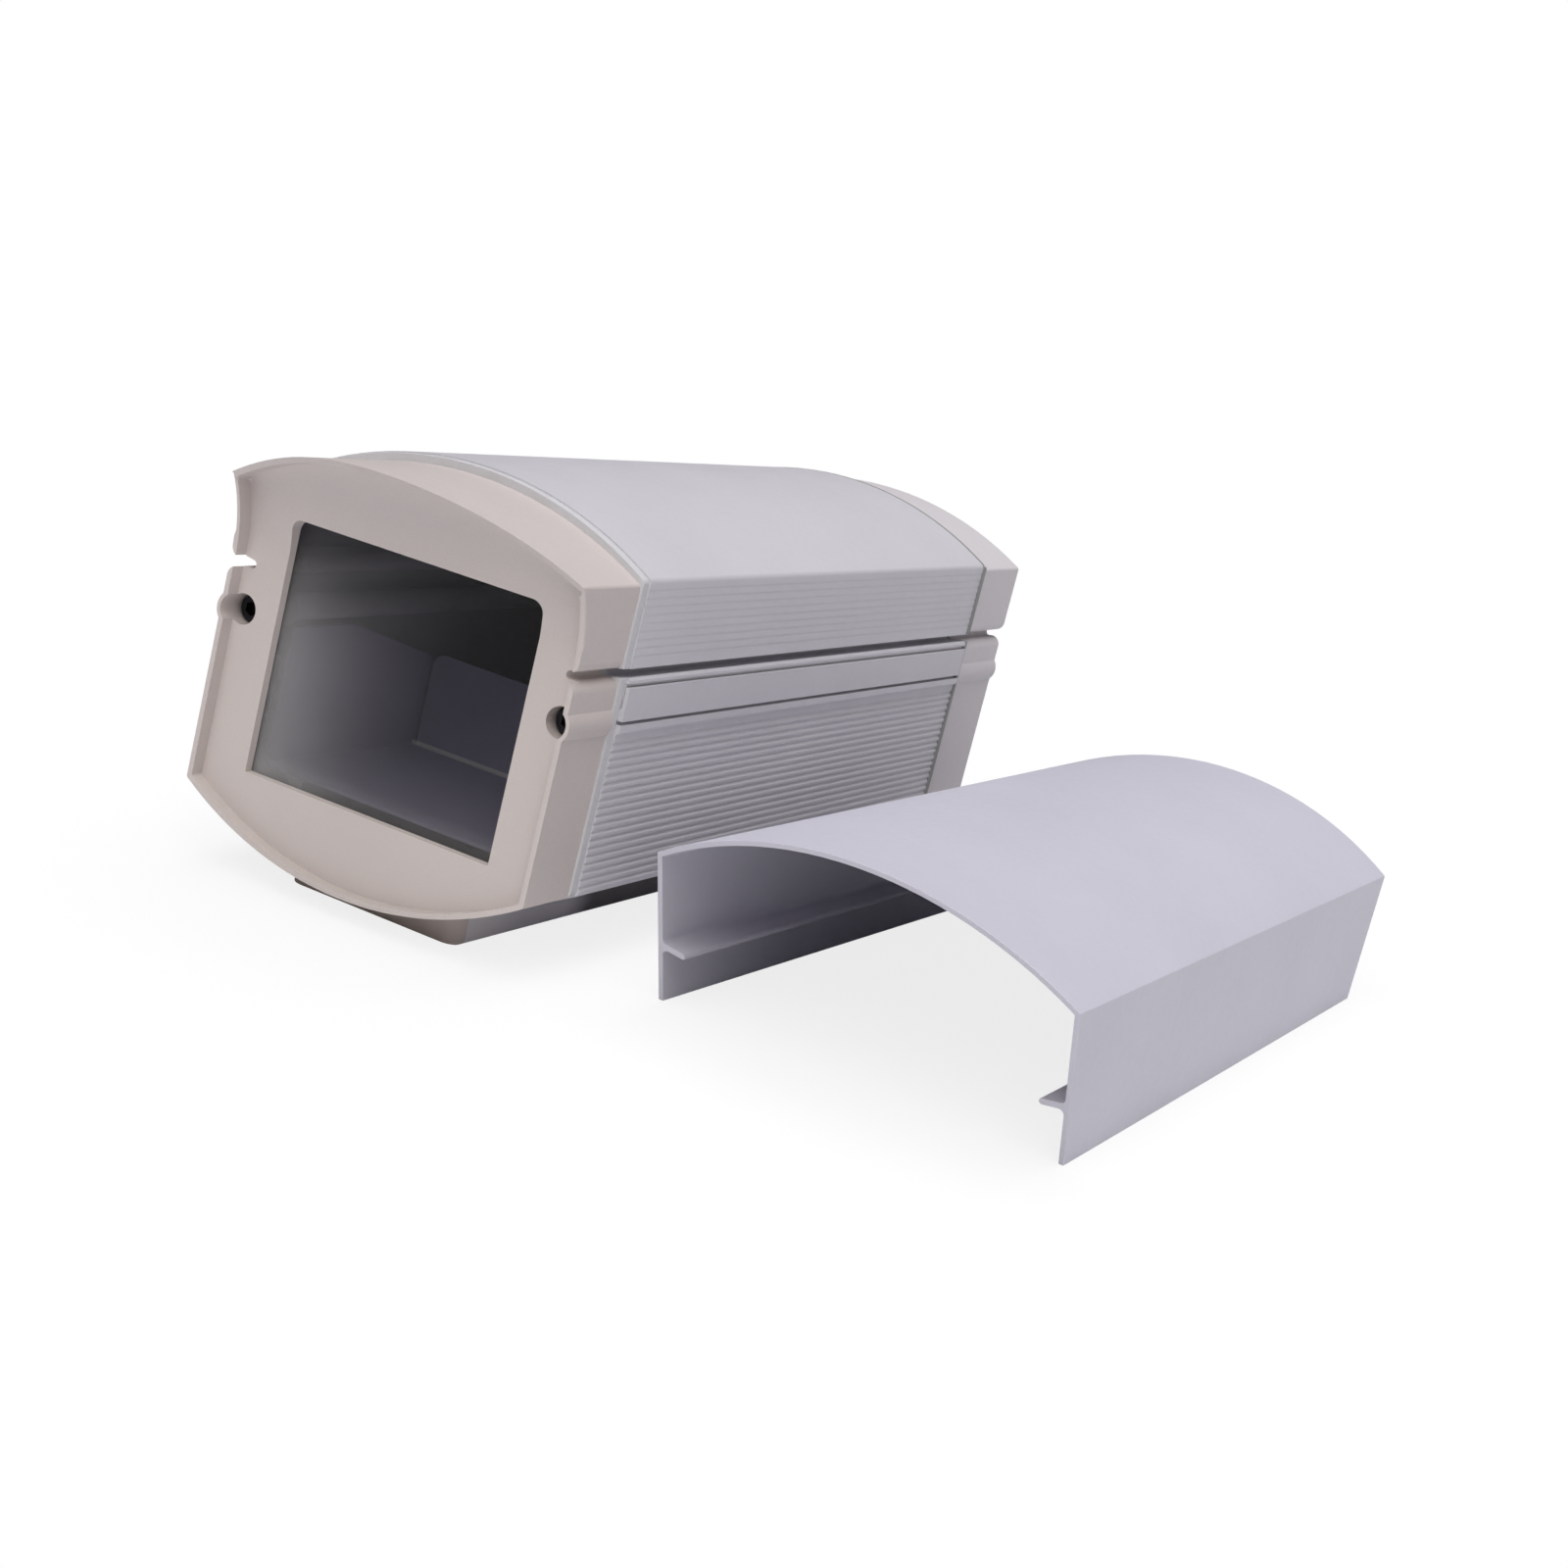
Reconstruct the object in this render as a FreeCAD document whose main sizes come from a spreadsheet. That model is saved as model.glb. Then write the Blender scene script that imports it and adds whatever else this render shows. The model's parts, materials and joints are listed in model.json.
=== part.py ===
import FreeCAD, Part
import math
import operator
import os

import Sketcher
from FreeCAD import Placement, Rotation, Vector

# Outdoor security camera housing: two interlocking aluminium extrusions between cast end caps,
# with its loose sunshield lying on the ground beside it. Millimetres, +Z up, front towards -Y.
# The origin is the centre of the four threaded holes in the underside of the foot.

SIZES = {
    # housing lengths along Y
    "overall_length": 396.0,
    "front_cap_depth": 30.0,
    "front_seal_thickness": 4.0,
    "rear_seal_thickness": 2.0,
    "rear_cap_depth": 48.0,
    # section of the two shells
    "shell_half_width": 76.5,
    "shell_corner_height": 148.5,
    "shell_arch_rise": 21.0,
    "shell_base_half_width": 76.7,
    "shell_base_height": 31.5,
    "shell_base_drop": 21.0,
    "shell_corner_radius": 2.5,
    "shell_wall": 2.5,
    "band_proud": 1.5,
    "band_bottom_height": 92.1,
    # sunshield groove in the side of the upper shell and both caps
    "groove_tip_inset": 7.4,
    "groove_tip_height": 113.53,
    "groove_half_height": 1.6,
    "groove_slope": 9.0,
    "groove_wall": 2.2,
    # joint between the shells
    "seam_height": 96.5,
    "seam_gap": 1.4,
    "lap_clearance": 0.3,
    "upstand_wall": 2.2,
    "upstand_top_height": 104.0,
    "bead_height": 2.0,
    "bead_proud": 1.0,
    # flutes in the side panels
    "flute_pitch": 3.0,
    "flute_radius": 1.2,
    "lower_flute_depth": 0.5,
    "lower_flute_start": 34.5,
    "lower_flute_end": 89.5,
    "upper_flute_depth": 0.2,
    "upper_flute_start": 120.5,
    "upper_flute_end": 146.5,
    # end cap castings
    "cap_half_width": 75.0,
    "cap_corner_height": 146.3,
    "cap_arch_rise": 19.5,
    "cap_base_height": 31.0,
    "cap_base_drop": 22.0,
    "cap_corner_radius": 1.5,
    "cap_inner_corner_radius": 2.0,
    "cap_wall": 3.2,
    "rear_wall": 3.5,
    "notch_lip_radius": 4.0,
    "notch_wall": 2.5,
    # visor sweep of the front cap
    "rim_wall": 2.0,
    "visor_start_height": 116.0,
    "visor_radius": 56.0,
    "visor_recess_gain": 0.33,
    "face_depth": 5.87,
    "ledge_depth": 9.5,
    "visor_wall": 3.5,
    # window
    "window_half_width": 54.2,
    "window_bottom_height": 39.0,
    "window_top_height": 135.0,
    "window_corner_radius": 4.5,
    "glass_margin": 6.5,
    "glass_thickness": 4.0,
    "glass_corner_radius": 3.0,
    "glass_gasket_thickness": 1.0,
    "glass_gasket_inset": 4.5,
    "retainer_end_margin": 8.0,
    "retainer_ear": 9.0,
    "retainer_corner_radius": 2.0,
    "retainer_thickness": 1.5,
    "retainer_screw_spacing": 40.0,
    "retainer_screw_margin": 5.0,
    "retainer_boss_radius": 3.4,
    "retainer_screw_radius": 1.5,
    "retainer_screw_head_radius": 2.8,
    "retainer_screw_head_height": 2.0,
    "retainer_screw_bite": 5.0,
    # screws that hold the caps to the lower shell
    "cap_screw_offset": 69.5,
    "cap_screw_height": 96.5,
    "cap_screw_radius": 3.0,
    "cap_screw_head_radius": 5.0,
    "cap_screw_head_height": 6.0,
    "cap_screw_socket_radius": 2.9,
    "cap_screw_socket_depth": 3.5,
    "cap_screw_seat_depth": 17.0,
    "cap_screw_bite": 18.0,
    "counterbore_radius": 5.75,
    "cap_boss_radius": 7.2,
    "port_radius": 5.2,
    "thread_clearance": 0.05,
    "hole_clearance": 0.3,
    # ring seals between shells and caps
    "seal_inset": 0.6,
    "seal_side_width": 4.9,
    "seal_arch_width": 6.7,
    "seal_base_width": 3.4,
    # cable glands in the rear cap
    "gland_spacing": 60.0,
    "gland_height": 52.0,
    "gland_thread_radius": 8.0,
    "gland_collar_radius": 11.0,
    "gland_collar_height": 5.0,
    "gland_barrel_radius": 9.0,
    "gland_barrel_height": 11.0,
    "gland_bore_radius": 6.5,
    "gland_cable_radius": 4.0,
    "gland_insert_length": 10.0,
    "gland_nut_radius": 12.0,
    "gland_nut_tip_radius": 7.5,
    "gland_nut_height": 16.0,
    "gland_nut_mouth_radius": 5.0,
    "gland_gasket_thickness": 1.5,
    "gland_lock_nut_radius": 12.5,
    "gland_lock_nut_height": 4.5,
    "gland_tail_length": 12.0,
    # foot
    "foot_length": 350.0,
    "foot_half_width": 37.8,
    "foot_side_wall": 3.0,
    "foot_plate": 3.0,
    "foot_flange": 2.5,
    "foot_corner_radius": 1.0,
    "foot_cap_depth": 7.0,
    "foot_cap_corner_radius": 6.0,
    "foot_cap_plug_depth": 9.0,
    "foot_cap_clearance": 0.2,
    "mount_spacing_across": 40.0,
    "mount_spacing_along": 100.0,
    "insert_hole_radius": 2.5,
    "insert_body_radius": 4.5,
    "insert_flange_radius": 6.3,
    "insert_flange_height": 1.0,
    "insert_length": 8.0,
    "foot_screw_spacing": 95.0,
    "foot_screw_radius": 2.5,
    "foot_screw_head_radius": 4.75,
    "foot_screw_head_height": 3.0,
    "foot_nut_radius": 4.6,
    "foot_nut_height": 4.0,
    "foot_screw_end_height": 3.5,
    # camera tray
    "tray_half_width": 68.0,
    "tray_sheet": 1.5,
    "tray_floor_height": 34.3,
    "tray_bend_radius": 2.5,
    "tray_front_depth": 36.0,
    "tray_length": 206.0,
    "tray_wall_length": 99.0,
    "tray_wall_flat_length": 39.0,
    "tray_wall_port_gap": 2.3,
    "tray_wall_rear_height": 73.0,
    "tray_low_wall_height": 46.0,
    "tray_travel": 60.0,
    "tray_running_gap": 0.3,
    "camera_slot_half_width": 3.3,
    "camera_slot_length": 30.0,
    "camera_slot_spacing": 40.0,
    "camera_slot_depth": 190.0,
    "lock_slot_offset": 52.0,
    "lock_slot_clearance": 0.4,
    "lock_screw_depth": 220.0,
    "lock_screw_radius": 2.0,
    "lock_screw_bite": 8.0,
    "lock_screw_head_radius": 6.0,
    "lock_screw_head_height": 6.5,
    "lock_rib_half_width": 4.0,
    "guide_rib_wall": 2.0,
    "guide_rib_height": 39.0,
    "partition_half_width": 65.4,
    "partition_height": 75.0,
    "partition_corner_radius": 5.0,
    "partition_flange_depth": 12.0,
    "partition_flange_half_width": 40.0,
    "rivet_spacing": 50.0,
    "rivet_radius": 1.6,
    "rivet_head_radius": 3.0,
    "rivet_head_height": 1.2,
    # sunshield
    "shield_half_width": 81.4,
    "shield_wall": 2.0,
    "shield_wall_height": 59.7,
    "shield_arch_rise": 24.5,
    "shield_length": 358.0,
    "shield_front_rake": 28.0,
    "shield_rib_reach": 9.4,
    "shield_rib_half_thickness": 1.2,
    "shield_rib_root_radius": 2.0,
    "shield_fitted_height": 92.2,
    "shield_place_across": 189.4,
    "shield_place_along": 146.06,
    "shield_turn": -1.33,
}


class Size:
    """A length with its present value and the sheet formula that gives it."""

    def __init__(self, value, formula):
        self.value = value
        self.formula = formula

    def __add__(self, other):
        return joined(operator.add, "+", self, other)

    def __radd__(self, other):
        return joined(operator.add, "+", other, self)

    def __sub__(self, other):
        return joined(operator.sub, "-", self, other)

    def __rsub__(self, other):
        return joined(operator.sub, "-", other, self)

    def __mul__(self, other):
        return joined(operator.mul, "*", self, other)

    def __rmul__(self, other):
        return joined(operator.mul, "*", other, self)

    def __truediv__(self, other):
        return joined(operator.truediv, "/", self, other)

    def __neg__(self):
        return Size(-self.value, f"(-{self.formula})")

    def squared(self):
        return Size(self.value ** 2, f"({self.formula})^2")


def as_size(item):
    if isinstance(item, Size):
        return item
    return Size(float(item), f"{float(item)}")


def joined(action, sign, first, second):
    first, second = as_size(first), as_size(second)
    return Size(action(first.value, second.value), f"({first.formula} {sign} {second.formula})")


def root(item):
    return Size(math.sqrt(item.value), f"sqrt({item.formula})")


def sine(angle):
    return Size(math.sin(math.radians(angle.value)), f"sin({angle.formula})")


def cosine(angle):
    return Size(math.cos(math.radians(angle.value)), f"cos({angle.formula})")


def tangent(angle):
    return Size(math.tan(math.radians(angle.value)), f"tan({angle.formula})")


class Sheet:
    """Gives each cell of the size sheet as an attribute."""

    def __init__(self, document, sizes):
        cells = document.addObject("Spreadsheet::Sheet", "Sizes")
        for row, (alias, value) in enumerate(sizes.items(), start=1):
            cells.set(f"A{row}", alias)
            cells.set(f"B{row}", str(value))
            cells.setAlias(f"B{row}", alias)
            setattr(self, alias, Size(float(value), f"Sizes.{alias}"))
        document.recompute()


doc = FreeCAD.newDocument("CameraHousing")
size = Sheet(doc, SIZES)
NODES = []

# The numbers by which a sketch knows the points of an edge
START_POINT, END_POINT, CENTRE_POINT = range(1, 4)
# Points nearer than this are the same
SAME_PLACE = 1e-6
# Half the width over a hexagon's flats for each unit of its corner radius
HEXAGON_FLAT_SHARE = math.sqrt(3) / 2
# Degrees
RIGHT_ANGLE = 90


class Bend:
    """A round edge between two corner points. It turns left along the path, or right if told so."""

    def __init__(self, radius, left=True):
        self.radius = as_size(radius)
        self.left = left


class Ring:
    """A whole circle of a sketch."""

    def __init__(self, across, up, radius):
        self.centre = (as_size(across), as_size(up))
        self.radius = as_size(radius)


class Arch:
    """The circle of an arched edge, whose centre is on the middle plane."""

    def __init__(self, radius, centre_height):
        self.radius = radius
        self.centre_height = centre_height

    def inset(self, depth):
        return Arch(self.radius - depth, self.centre_height)

    def half_span(self, across):
        return root(self.radius.squared() - as_size(across).squared())


def top_arch(half_width, corner_height, rise):
    radius = (half_width.squared() + rise.squared()) / (2 * rise)
    return Arch(radius, corner_height + rise - radius)


def base_arch(half_width, corner_height, drop):
    radius = (half_width.squared() + drop.squared()) / (2 * drop)
    return Arch(radius, corner_height - drop + radius)


def reversed_path(path):
    return [Bend(item.radius, not item.left) if isinstance(item, Bend) else item for item in reversed(path)]


def mirrored_path(path):
    flipped = []
    for item in path:
        if isinstance(item, Bend):
            flipped.append(Bend(item.radius, not item.left))
        else:
            flipped.append((-as_size(item[0]), item[1]))
    return flipped


def over_the_top(path, bend):
    """A right-hand path that goes up, across the middle on a bend and down the left-hand side."""
    return path + [bend] + reversed_path(mirrored_path(path))


def corner_to_arch(half_width, arch, radius, above):
    """The two ends of a round corner between the straight side and the arch."""
    sign = 1 if above else -1
    across = half_width - radius
    up = root((arch.radius - radius).squared() - across.squared())
    share = arch.radius / (arch.radius - radius)
    side = (half_width, arch.centre_height + sign * up)
    on_arch = (across * share, arch.centre_height + sign * up * share)
    return side, on_arch


def outline(half_width, top, base, corner_radius, base_half_width=None):
    """A closed section: arched top, straight sides and arched base."""
    low_side, low_arch = corner_to_arch(base_half_width or half_width, base, corner_radius, above=False)
    high_side, high_arch = corner_to_arch(half_width, top, corner_radius, above=True)
    bend = Bend(corner_radius)
    right = [low_arch, bend, low_side, high_side, bend, high_arch]
    return over_the_top(right, Bend(top.radius)) + [Bend(base.radius)]


def rectangle(low_x, low_y, high_x, high_y):
    return [(low_x, low_y), (high_x, low_y), (high_x, high_y), (low_x, high_y)]


def rounded_rectangle(half_width, low, high, radius):
    right = [(half_width - radius, low), Bend(radius), (half_width, low + radius)]
    right += [(half_width, high - radius), Bend(radius), (half_width - radius, high)]
    return right + reversed_path(mirrored_path(right))


def slot_loop(across, along, half_width, length):
    """A slot along the sketch's second axis with round ends, each drawn as two quarter turns."""
    reach = length / 2
    shoulder = reach - half_width
    bend = Bend(half_width)
    return [
        (across + half_width, along - shoulder), (across + half_width, along + shoulder), bend,
        (across, along + reach), bend,
        (across - half_width, along + shoulder), (across - half_width, along - shoulder), bend,
        (across, along - reach), bend,
    ]


def sketch_edges(loop):
    """Split a closed loop into edges of start point, bend or None, and end point."""
    edges = []
    for index, item in enumerate(loop):
        if isinstance(item, Bend):
            continue
        following = loop[(index + 1) % len(loop)]
        if isinstance(following, Bend):
            edges.append((item, following, loop[(index + 2) % len(loop)]))
        else:
            edges.append((item, None, following))
    return edges


def bend_middle(start, bend, end):
    """The middle point of the short arc between two points."""
    chord = end - start
    half = chord.Length / 2
    sagitta = bend.radius.value - math.sqrt(max(bend.radius.value ** 2 - half ** 2, 0))
    side = 1 if bend.left else -1
    outward = Vector(chord.y, -chord.x, 0).normalize() * side
    return (start + end) / 2 + outward * sagitta


def hold(sketch, kind, element, point, length):
    """Fix one coordinate of a sketch point to a sheet formula."""
    index = sketch.addConstraint(Sketcher.Constraint(kind, element, point, length.value))
    sketch.setExpression(f"Constraints[{index}]", length.formula)


def hold_radius(sketch, element, radius):
    index = sketch.addConstraint(Sketcher.Constraint("Radius", element, radius.value))
    sketch.setExpression(f"Constraints[{index}]", radius.formula)


def draw_ring(sketch, ring):
    middle = Vector(ring.centre[0].value, ring.centre[1].value, 0)
    element = sketch.addGeometry(Part.Circle(middle, Vector(0, 0, 1), ring.radius.value))
    hold(sketch, "DistanceX", element, CENTRE_POINT, ring.centre[0])
    hold(sketch, "DistanceY", element, CENTRE_POINT, ring.centre[1])
    hold_radius(sketch, element, ring.radius)


def draw_loop(sketch, loop):
    """Draw a closed loop and fix every corner and radius of it."""
    placed = []
    for start, bend, end in sketch_edges(loop):
        start = (as_size(start[0]), as_size(start[1]))
        end = (as_size(end[0]), as_size(end[1]))
        first = Vector(start[0].value, start[1].value, 0)
        last = Vector(end[0].value, end[1].value, 0)
        if bend:
            curve = Part.Arc(first, bend_middle(first, bend, last), last)
        else:
            curve = Part.LineSegment(first, last)
        element = sketch.addGeometry(curve)
        forwards = sketch.getPoint(element, START_POINT).distanceToPoint(first) < SAME_PLACE
        ends = (START_POINT, END_POINT) if forwards else (END_POINT, START_POINT)
        placed.append((element, *ends, start, bend))
    for index, (element, first, last, start, bend) in enumerate(placed):
        before = placed[index - 1]
        sketch.addConstraint(Sketcher.Constraint("Coincident", before[0], before[2], element, first))
        hold(sketch, "DistanceX", element, first, start[0])
        hold(sketch, "DistanceY", element, first, start[1])
        if bend:
            hold_radius(sketch, element, bend.radius)


# Each drawing plane: its role in a body, its turn, the direction it is extruded in,
# and the sign that takes a place along that direction to an offset along the plane's normal.
PLANES = {
    "XZ": ("XZ_Plane", Rotation(Vector(1, 0, 0), 90), Vector(0, 1, 0), -1),
    "YZ": ("YZ_Plane", Rotation(90, 0, 90), Vector(1, 0, 0), 1),
    "XY": ("XY_Plane", Rotation(), Vector(0, 0, 1), 1),
}


def draw(sketch, loops):
    for loop in loops:
        if isinstance(loop, Ring):
            draw_ring(sketch, loop)
        else:
            draw_loop(sketch, loop)


def origin_feature(body, role):
    return next(item for item in body.Origin.OriginFeatures if item.Role == role)


def body_sketch(body, name, plane, start, loops):
    """A sketch of a body, on an origin plane moved to a start place."""
    role, _, _, sign = PLANES[plane]
    sketch = body.newObject("Sketcher::SketchObject", name)
    sketch.AttachmentSupport = (origin_feature(body, role), [""])
    sketch.MapMode = "FlatFace"
    sketch.setExpression("AttachmentOffset.Base.z", (sign * as_size(start)).formula)
    draw(sketch, loops)
    return sketch


def add_pad(body, name, plane, start, end, loops):
    """Add a prism from start to end along the plane's extrusion direction."""
    pad = body.newObject("PartDesign::Pad", name)
    pad.Profile = body_sketch(body, name + "Sketch", plane, start, loops)
    pad.Reversed = PLANES[plane][3] < 0
    pad.setExpression("Length", (as_size(end) - start).formula)
    body.Tip = pad
    doc.recompute()
    return pad


def add_pocket(body, name, plane, start, end, loops):
    """Cut a prism from start to end along the plane's extrusion direction, and see that it cuts."""
    before = body.Tip.Shape.Volume
    pocket = body.newObject("PartDesign::Pocket", name)
    pocket.Profile = body_sketch(body, name + "Sketch", plane, start, loops)
    pocket.Reversed = PLANES[plane][3] > 0
    pocket.setExpression("Length", (as_size(end) - start).formula)
    body.Tip = pocket
    doc.recompute()
    if pocket.Shape.isNull() or pocket.Shape.Volume >= before:
        raise RuntimeError(f"{name} cuts nothing")
    return pocket


def add_pattern(body, name, feature, role, spacing, count):
    """Repeat a feature along an axis of the body."""
    pattern = body.newObject("PartDesign::LinearPattern", name)
    pattern.Originals = [feature]
    pattern.Direction = (origin_feature(body, role), [""])
    pattern.setExpression("Length", (spacing * (count - 1)).formula)
    pattern.setExpression("Occurrences", count.formula)
    body.Tip = pattern
    doc.recompute()
    return pattern


def whole_steps(span, pitch):
    """How many copies at a pitch fit in a span."""
    steps = span / pitch
    return Size(math.floor(steps.value) + 1, f"(floor({steps.formula}) + 1)")


def new_body(label):
    body = doc.addObject("PartDesign::Body", label.title().replace("_", ""))
    return as_node(body, label)


def as_node(item, label):
    """Name a sub-part and list it for export."""
    item.Label = label
    NODES.append(item)
    return item


def place(item, x=0, y=0, z=0, rotation=None):
    item.Placement = Placement(Vector(0, 0, 0), rotation or Rotation())
    for axis, length in (("x", x), ("y", y), ("z", z)):
        item.setExpression(f"Placement.Base.{axis}", as_size(length).formula)


def prism(name, plane, start, end, loops):
    """A straight solid from start to end along the plane's extrusion direction."""
    _, turn, direction, _ = PLANES[plane]
    sketch = doc.addObject("Sketcher::SketchObject", name + "Sketch")
    place(sketch, *(as_size(start) * part for part in direction), rotation=turn)
    draw(sketch, loops)
    solid = doc.addObject("Part::Extrusion", name)
    solid.Base = sketch
    solid.DirMode = "Custom"
    solid.Dir = direction
    solid.Solid = True
    solid.setExpression("LengthFwd", (as_size(end) - start).formula)
    return solid


AXIS_TURNS = {
    "x": Rotation(Vector(0, 1, 0), 90),
    "y": Rotation(Vector(1, 0, 0), -90),
    "z": Rotation(),
}


def at_axis(axis, start, first, second):
    """The place of a round piece whose axis starts at a coordinate: x, y and z in that order."""
    if axis == "x":
        return start, first, second
    if axis == "y":
        return first, start, second
    return first, second, start


def cylinder(name, axis, start, end, first, second, radius):
    solid = doc.addObject("Part::Cylinder", name)
    solid.setExpression("Radius", as_size(radius).formula)
    solid.setExpression("Height", (as_size(end) - start).formula)
    place(solid, *at_axis(axis, start, first, second), rotation=AXIS_TURNS[axis])
    return solid


def cone(name, axis, start, end, first, second, start_radius, end_radius):
    solid = doc.addObject("Part::Cone", name)
    solid.setExpression("Radius1", as_size(start_radius).formula)
    solid.setExpression("Radius2", as_size(end_radius).formula)
    solid.setExpression("Height", (as_size(end) - start).formula)
    place(solid, *at_axis(axis, start, first, second), rotation=AXIS_TURNS[axis])
    return solid


def hexagon(name, axis, start, end, first, second, radius):
    solid = doc.addObject("Part::Prism", name)
    solid.Polygon = 6
    solid.setExpression("Circumradius", as_size(radius).formula)
    solid.setExpression("Height", (as_size(end) - start).formula)
    place(solid, *at_axis(axis, start, first, second), rotation=AXIS_TURNS[axis])
    return solid


def cut(name, base, *tools):
    result = doc.addObject("Part::Cut", name)
    result.Base = base
    result.Tool = tools[0] if len(tools) == 1 else fuse(name + "Tools", *tools)
    return result


def fuse(name, *parts):
    result = doc.addObject("Part::MultiFuse", name)
    result.Shapes = list(parts)
    return result


def common(name, *parts):
    result = doc.addObject("Part::MultiCommon", name)
    result.Shapes = list(parts)
    return result


def group(label, parts):
    """Several like solids that share one node."""
    compound = doc.addObject("Part::Compound", label.title().replace("_", ""))
    compound.Links = list(parts)
    return as_node(compound, label)


# Places along Y
FRONT_Y = -size.overall_length / 2
CAP_BACK_Y = FRONT_Y + size.front_cap_depth
SHELL_FRONT_Y = CAP_BACK_Y + size.front_seal_thickness
BACK_Y = size.overall_length / 2
REAR_CAP_Y = BACK_Y - size.rear_cap_depth
SHELL_BACK_Y = REAR_CAP_Y - size.rear_seal_thickness
# How far a cutting solid runs past what it cuts
PAST = 10.0

# Section circles
SHELL_TOP = top_arch(size.shell_half_width, size.shell_corner_height, size.shell_arch_rise)
SHELL_BASE = base_arch(size.shell_base_half_width, size.shell_base_height, size.shell_base_drop)
CAP_TOP = top_arch(size.cap_half_width, size.cap_corner_height, size.cap_arch_rise)
CAP_BASE = base_arch(size.cap_half_width, size.cap_base_height, size.cap_base_drop)

# Sunshield groove, which slopes down and inwards to a round tip
GROOVE_X = size.shell_half_width - size.groove_tip_inset
GROOVE_Z = size.groove_tip_height


def groove_edge_height(across, half_height):
    """The height of a line beside the groove's middle line, above it or, if negative, below."""
    along = (across - GROOVE_X) * tangent(size.groove_slope)
    return GROOVE_Z + along + half_height / cosine(size.groove_slope)


def groove_tip_points(radius):
    """Lower end, innermost point and upper end of a round tip about the groove's tip centre."""
    slope = size.groove_slope
    lower = (GROOVE_X + radius * sine(slope), GROOVE_Z - radius * cosine(slope))
    inner = (GROOVE_X - radius * cosine(slope), GROOVE_Z - radius * sine(slope))
    upper = (GROOVE_X - radius * sine(slope), GROOVE_Z + radius * cosine(slope))
    return lower, inner, upper


def groove_tip_path(radius):
    """Round the tip from its lower end to its upper end."""
    lower, inner, upper = groove_tip_points(radius)
    bend = Bend(radius, left=False)
    return [lower, bend, inner, bend, upper]


def groove_loop(half_height, end_x):
    """A closed outline around the groove's middle line, from its tip out to end_x."""
    path = groove_tip_path(half_height)
    outer_low = (end_x, groove_edge_height(end_x, -half_height))
    outer_high = (end_x, groove_edge_height(end_x, half_height))
    return [outer_low] + path + [outer_high]


def notch_loop(side_x):
    """The groove through an end cap, with lips that round out to the cap's side."""
    half_height = size.groove_half_height
    lip = size.notch_lip_radius
    lip_x = side_x - lip
    low = groove_edge_height(lip_x, -half_height)
    high = groove_edge_height(lip_x, half_height)
    past_x = side_x + PAST
    path = [(past_x, low - lip), (side_x, low - lip), Bend(lip), (lip_x, low)]
    path += groove_tip_path(half_height)
    path += [(lip_x, high), Bend(lip), (side_x, high + lip), (past_x, high + lip)]
    return path


def mirrored_pair(name, plane, start, end, loop):
    """The same prism on the right and on the left."""
    right = prism(name + "Right", plane, start, end, [loop])
    left = prism(name + "Left", plane, start, end, [mirrored_path(loop)])
    return [right, left]


def screw_axes():
    """Names and places across of the two cap screws."""
    return (("Right", size.cap_screw_offset), ("Left", -size.cap_screw_offset))


def make_upper_shell():
    """Arched cover extrusion with the sunshield grooves folded into its sides."""
    side = size.shell_half_width
    band = side + size.band_proud
    wall = size.shell_wall
    seam_z = size.seam_height + size.seam_gap / 2
    mouth_low = (side, groove_edge_height(side, -size.groove_half_height))
    mouth_high = (side, groove_edge_height(side, size.groove_half_height))
    high_side, high_arch = corner_to_arch(side, SHELL_TOP, size.shell_corner_radius, above=True)
    outer = [(band, seam_z), (band, mouth_low[1] - size.band_proud), mouth_low]
    outer += groove_tip_path(size.groove_half_height)
    outer += [mouth_high, high_side, Bend(size.shell_corner_radius), high_arch]

    skirt_x = band - wall
    relief_x = skirt_x + size.bead_proud
    hook_z = size.upstand_top_height - size.bead_height - size.lap_clearance
    around = size.groove_half_height + size.groove_wall
    inner_x = side - wall
    inner_top = SHELL_TOP.inset(wall)
    inner = [(skirt_x, seam_z), (skirt_x, hook_z), (relief_x, hook_z)]
    inner += [(relief_x, groove_edge_height(relief_x, -around))]
    inner += groove_tip_path(around)
    inner += [(inner_x, groove_edge_height(inner_x, around))]
    inner += [(inner_x, inner_top.centre_height + inner_top.half_span(inner_x))]

    outer_chain = over_the_top(outer, Bend(SHELL_TOP.radius))
    inner_chain = over_the_top(inner, Bend(inner_top.radius))
    body = new_body("upper_shell")
    add_pad(body, "UpperSection", "XZ", SHELL_FRONT_Y, SHELL_BACK_Y,
            [outer_chain + reversed_path(inner_chain)])
    add_flutes(body, "Upper", side, size.upper_flute_depth, size.upper_flute_start, size.upper_flute_end)


def add_flutes(body, name, side, depth, low, high):
    """Fine round flutes along both sides of a shell."""
    across = side + size.flute_radius - depth
    rings = [Ring(across, low, size.flute_radius), Ring(-across, low, size.flute_radius)]
    flute = add_pocket(body, name + "Flute", "XZ", SHELL_FRONT_Y, SHELL_BACK_Y, rings)
    count = whole_steps(high - low, size.flute_pitch)
    add_pattern(body, name + "Flutes", flute, "Z_Axis", size.flute_pitch, count)


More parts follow.
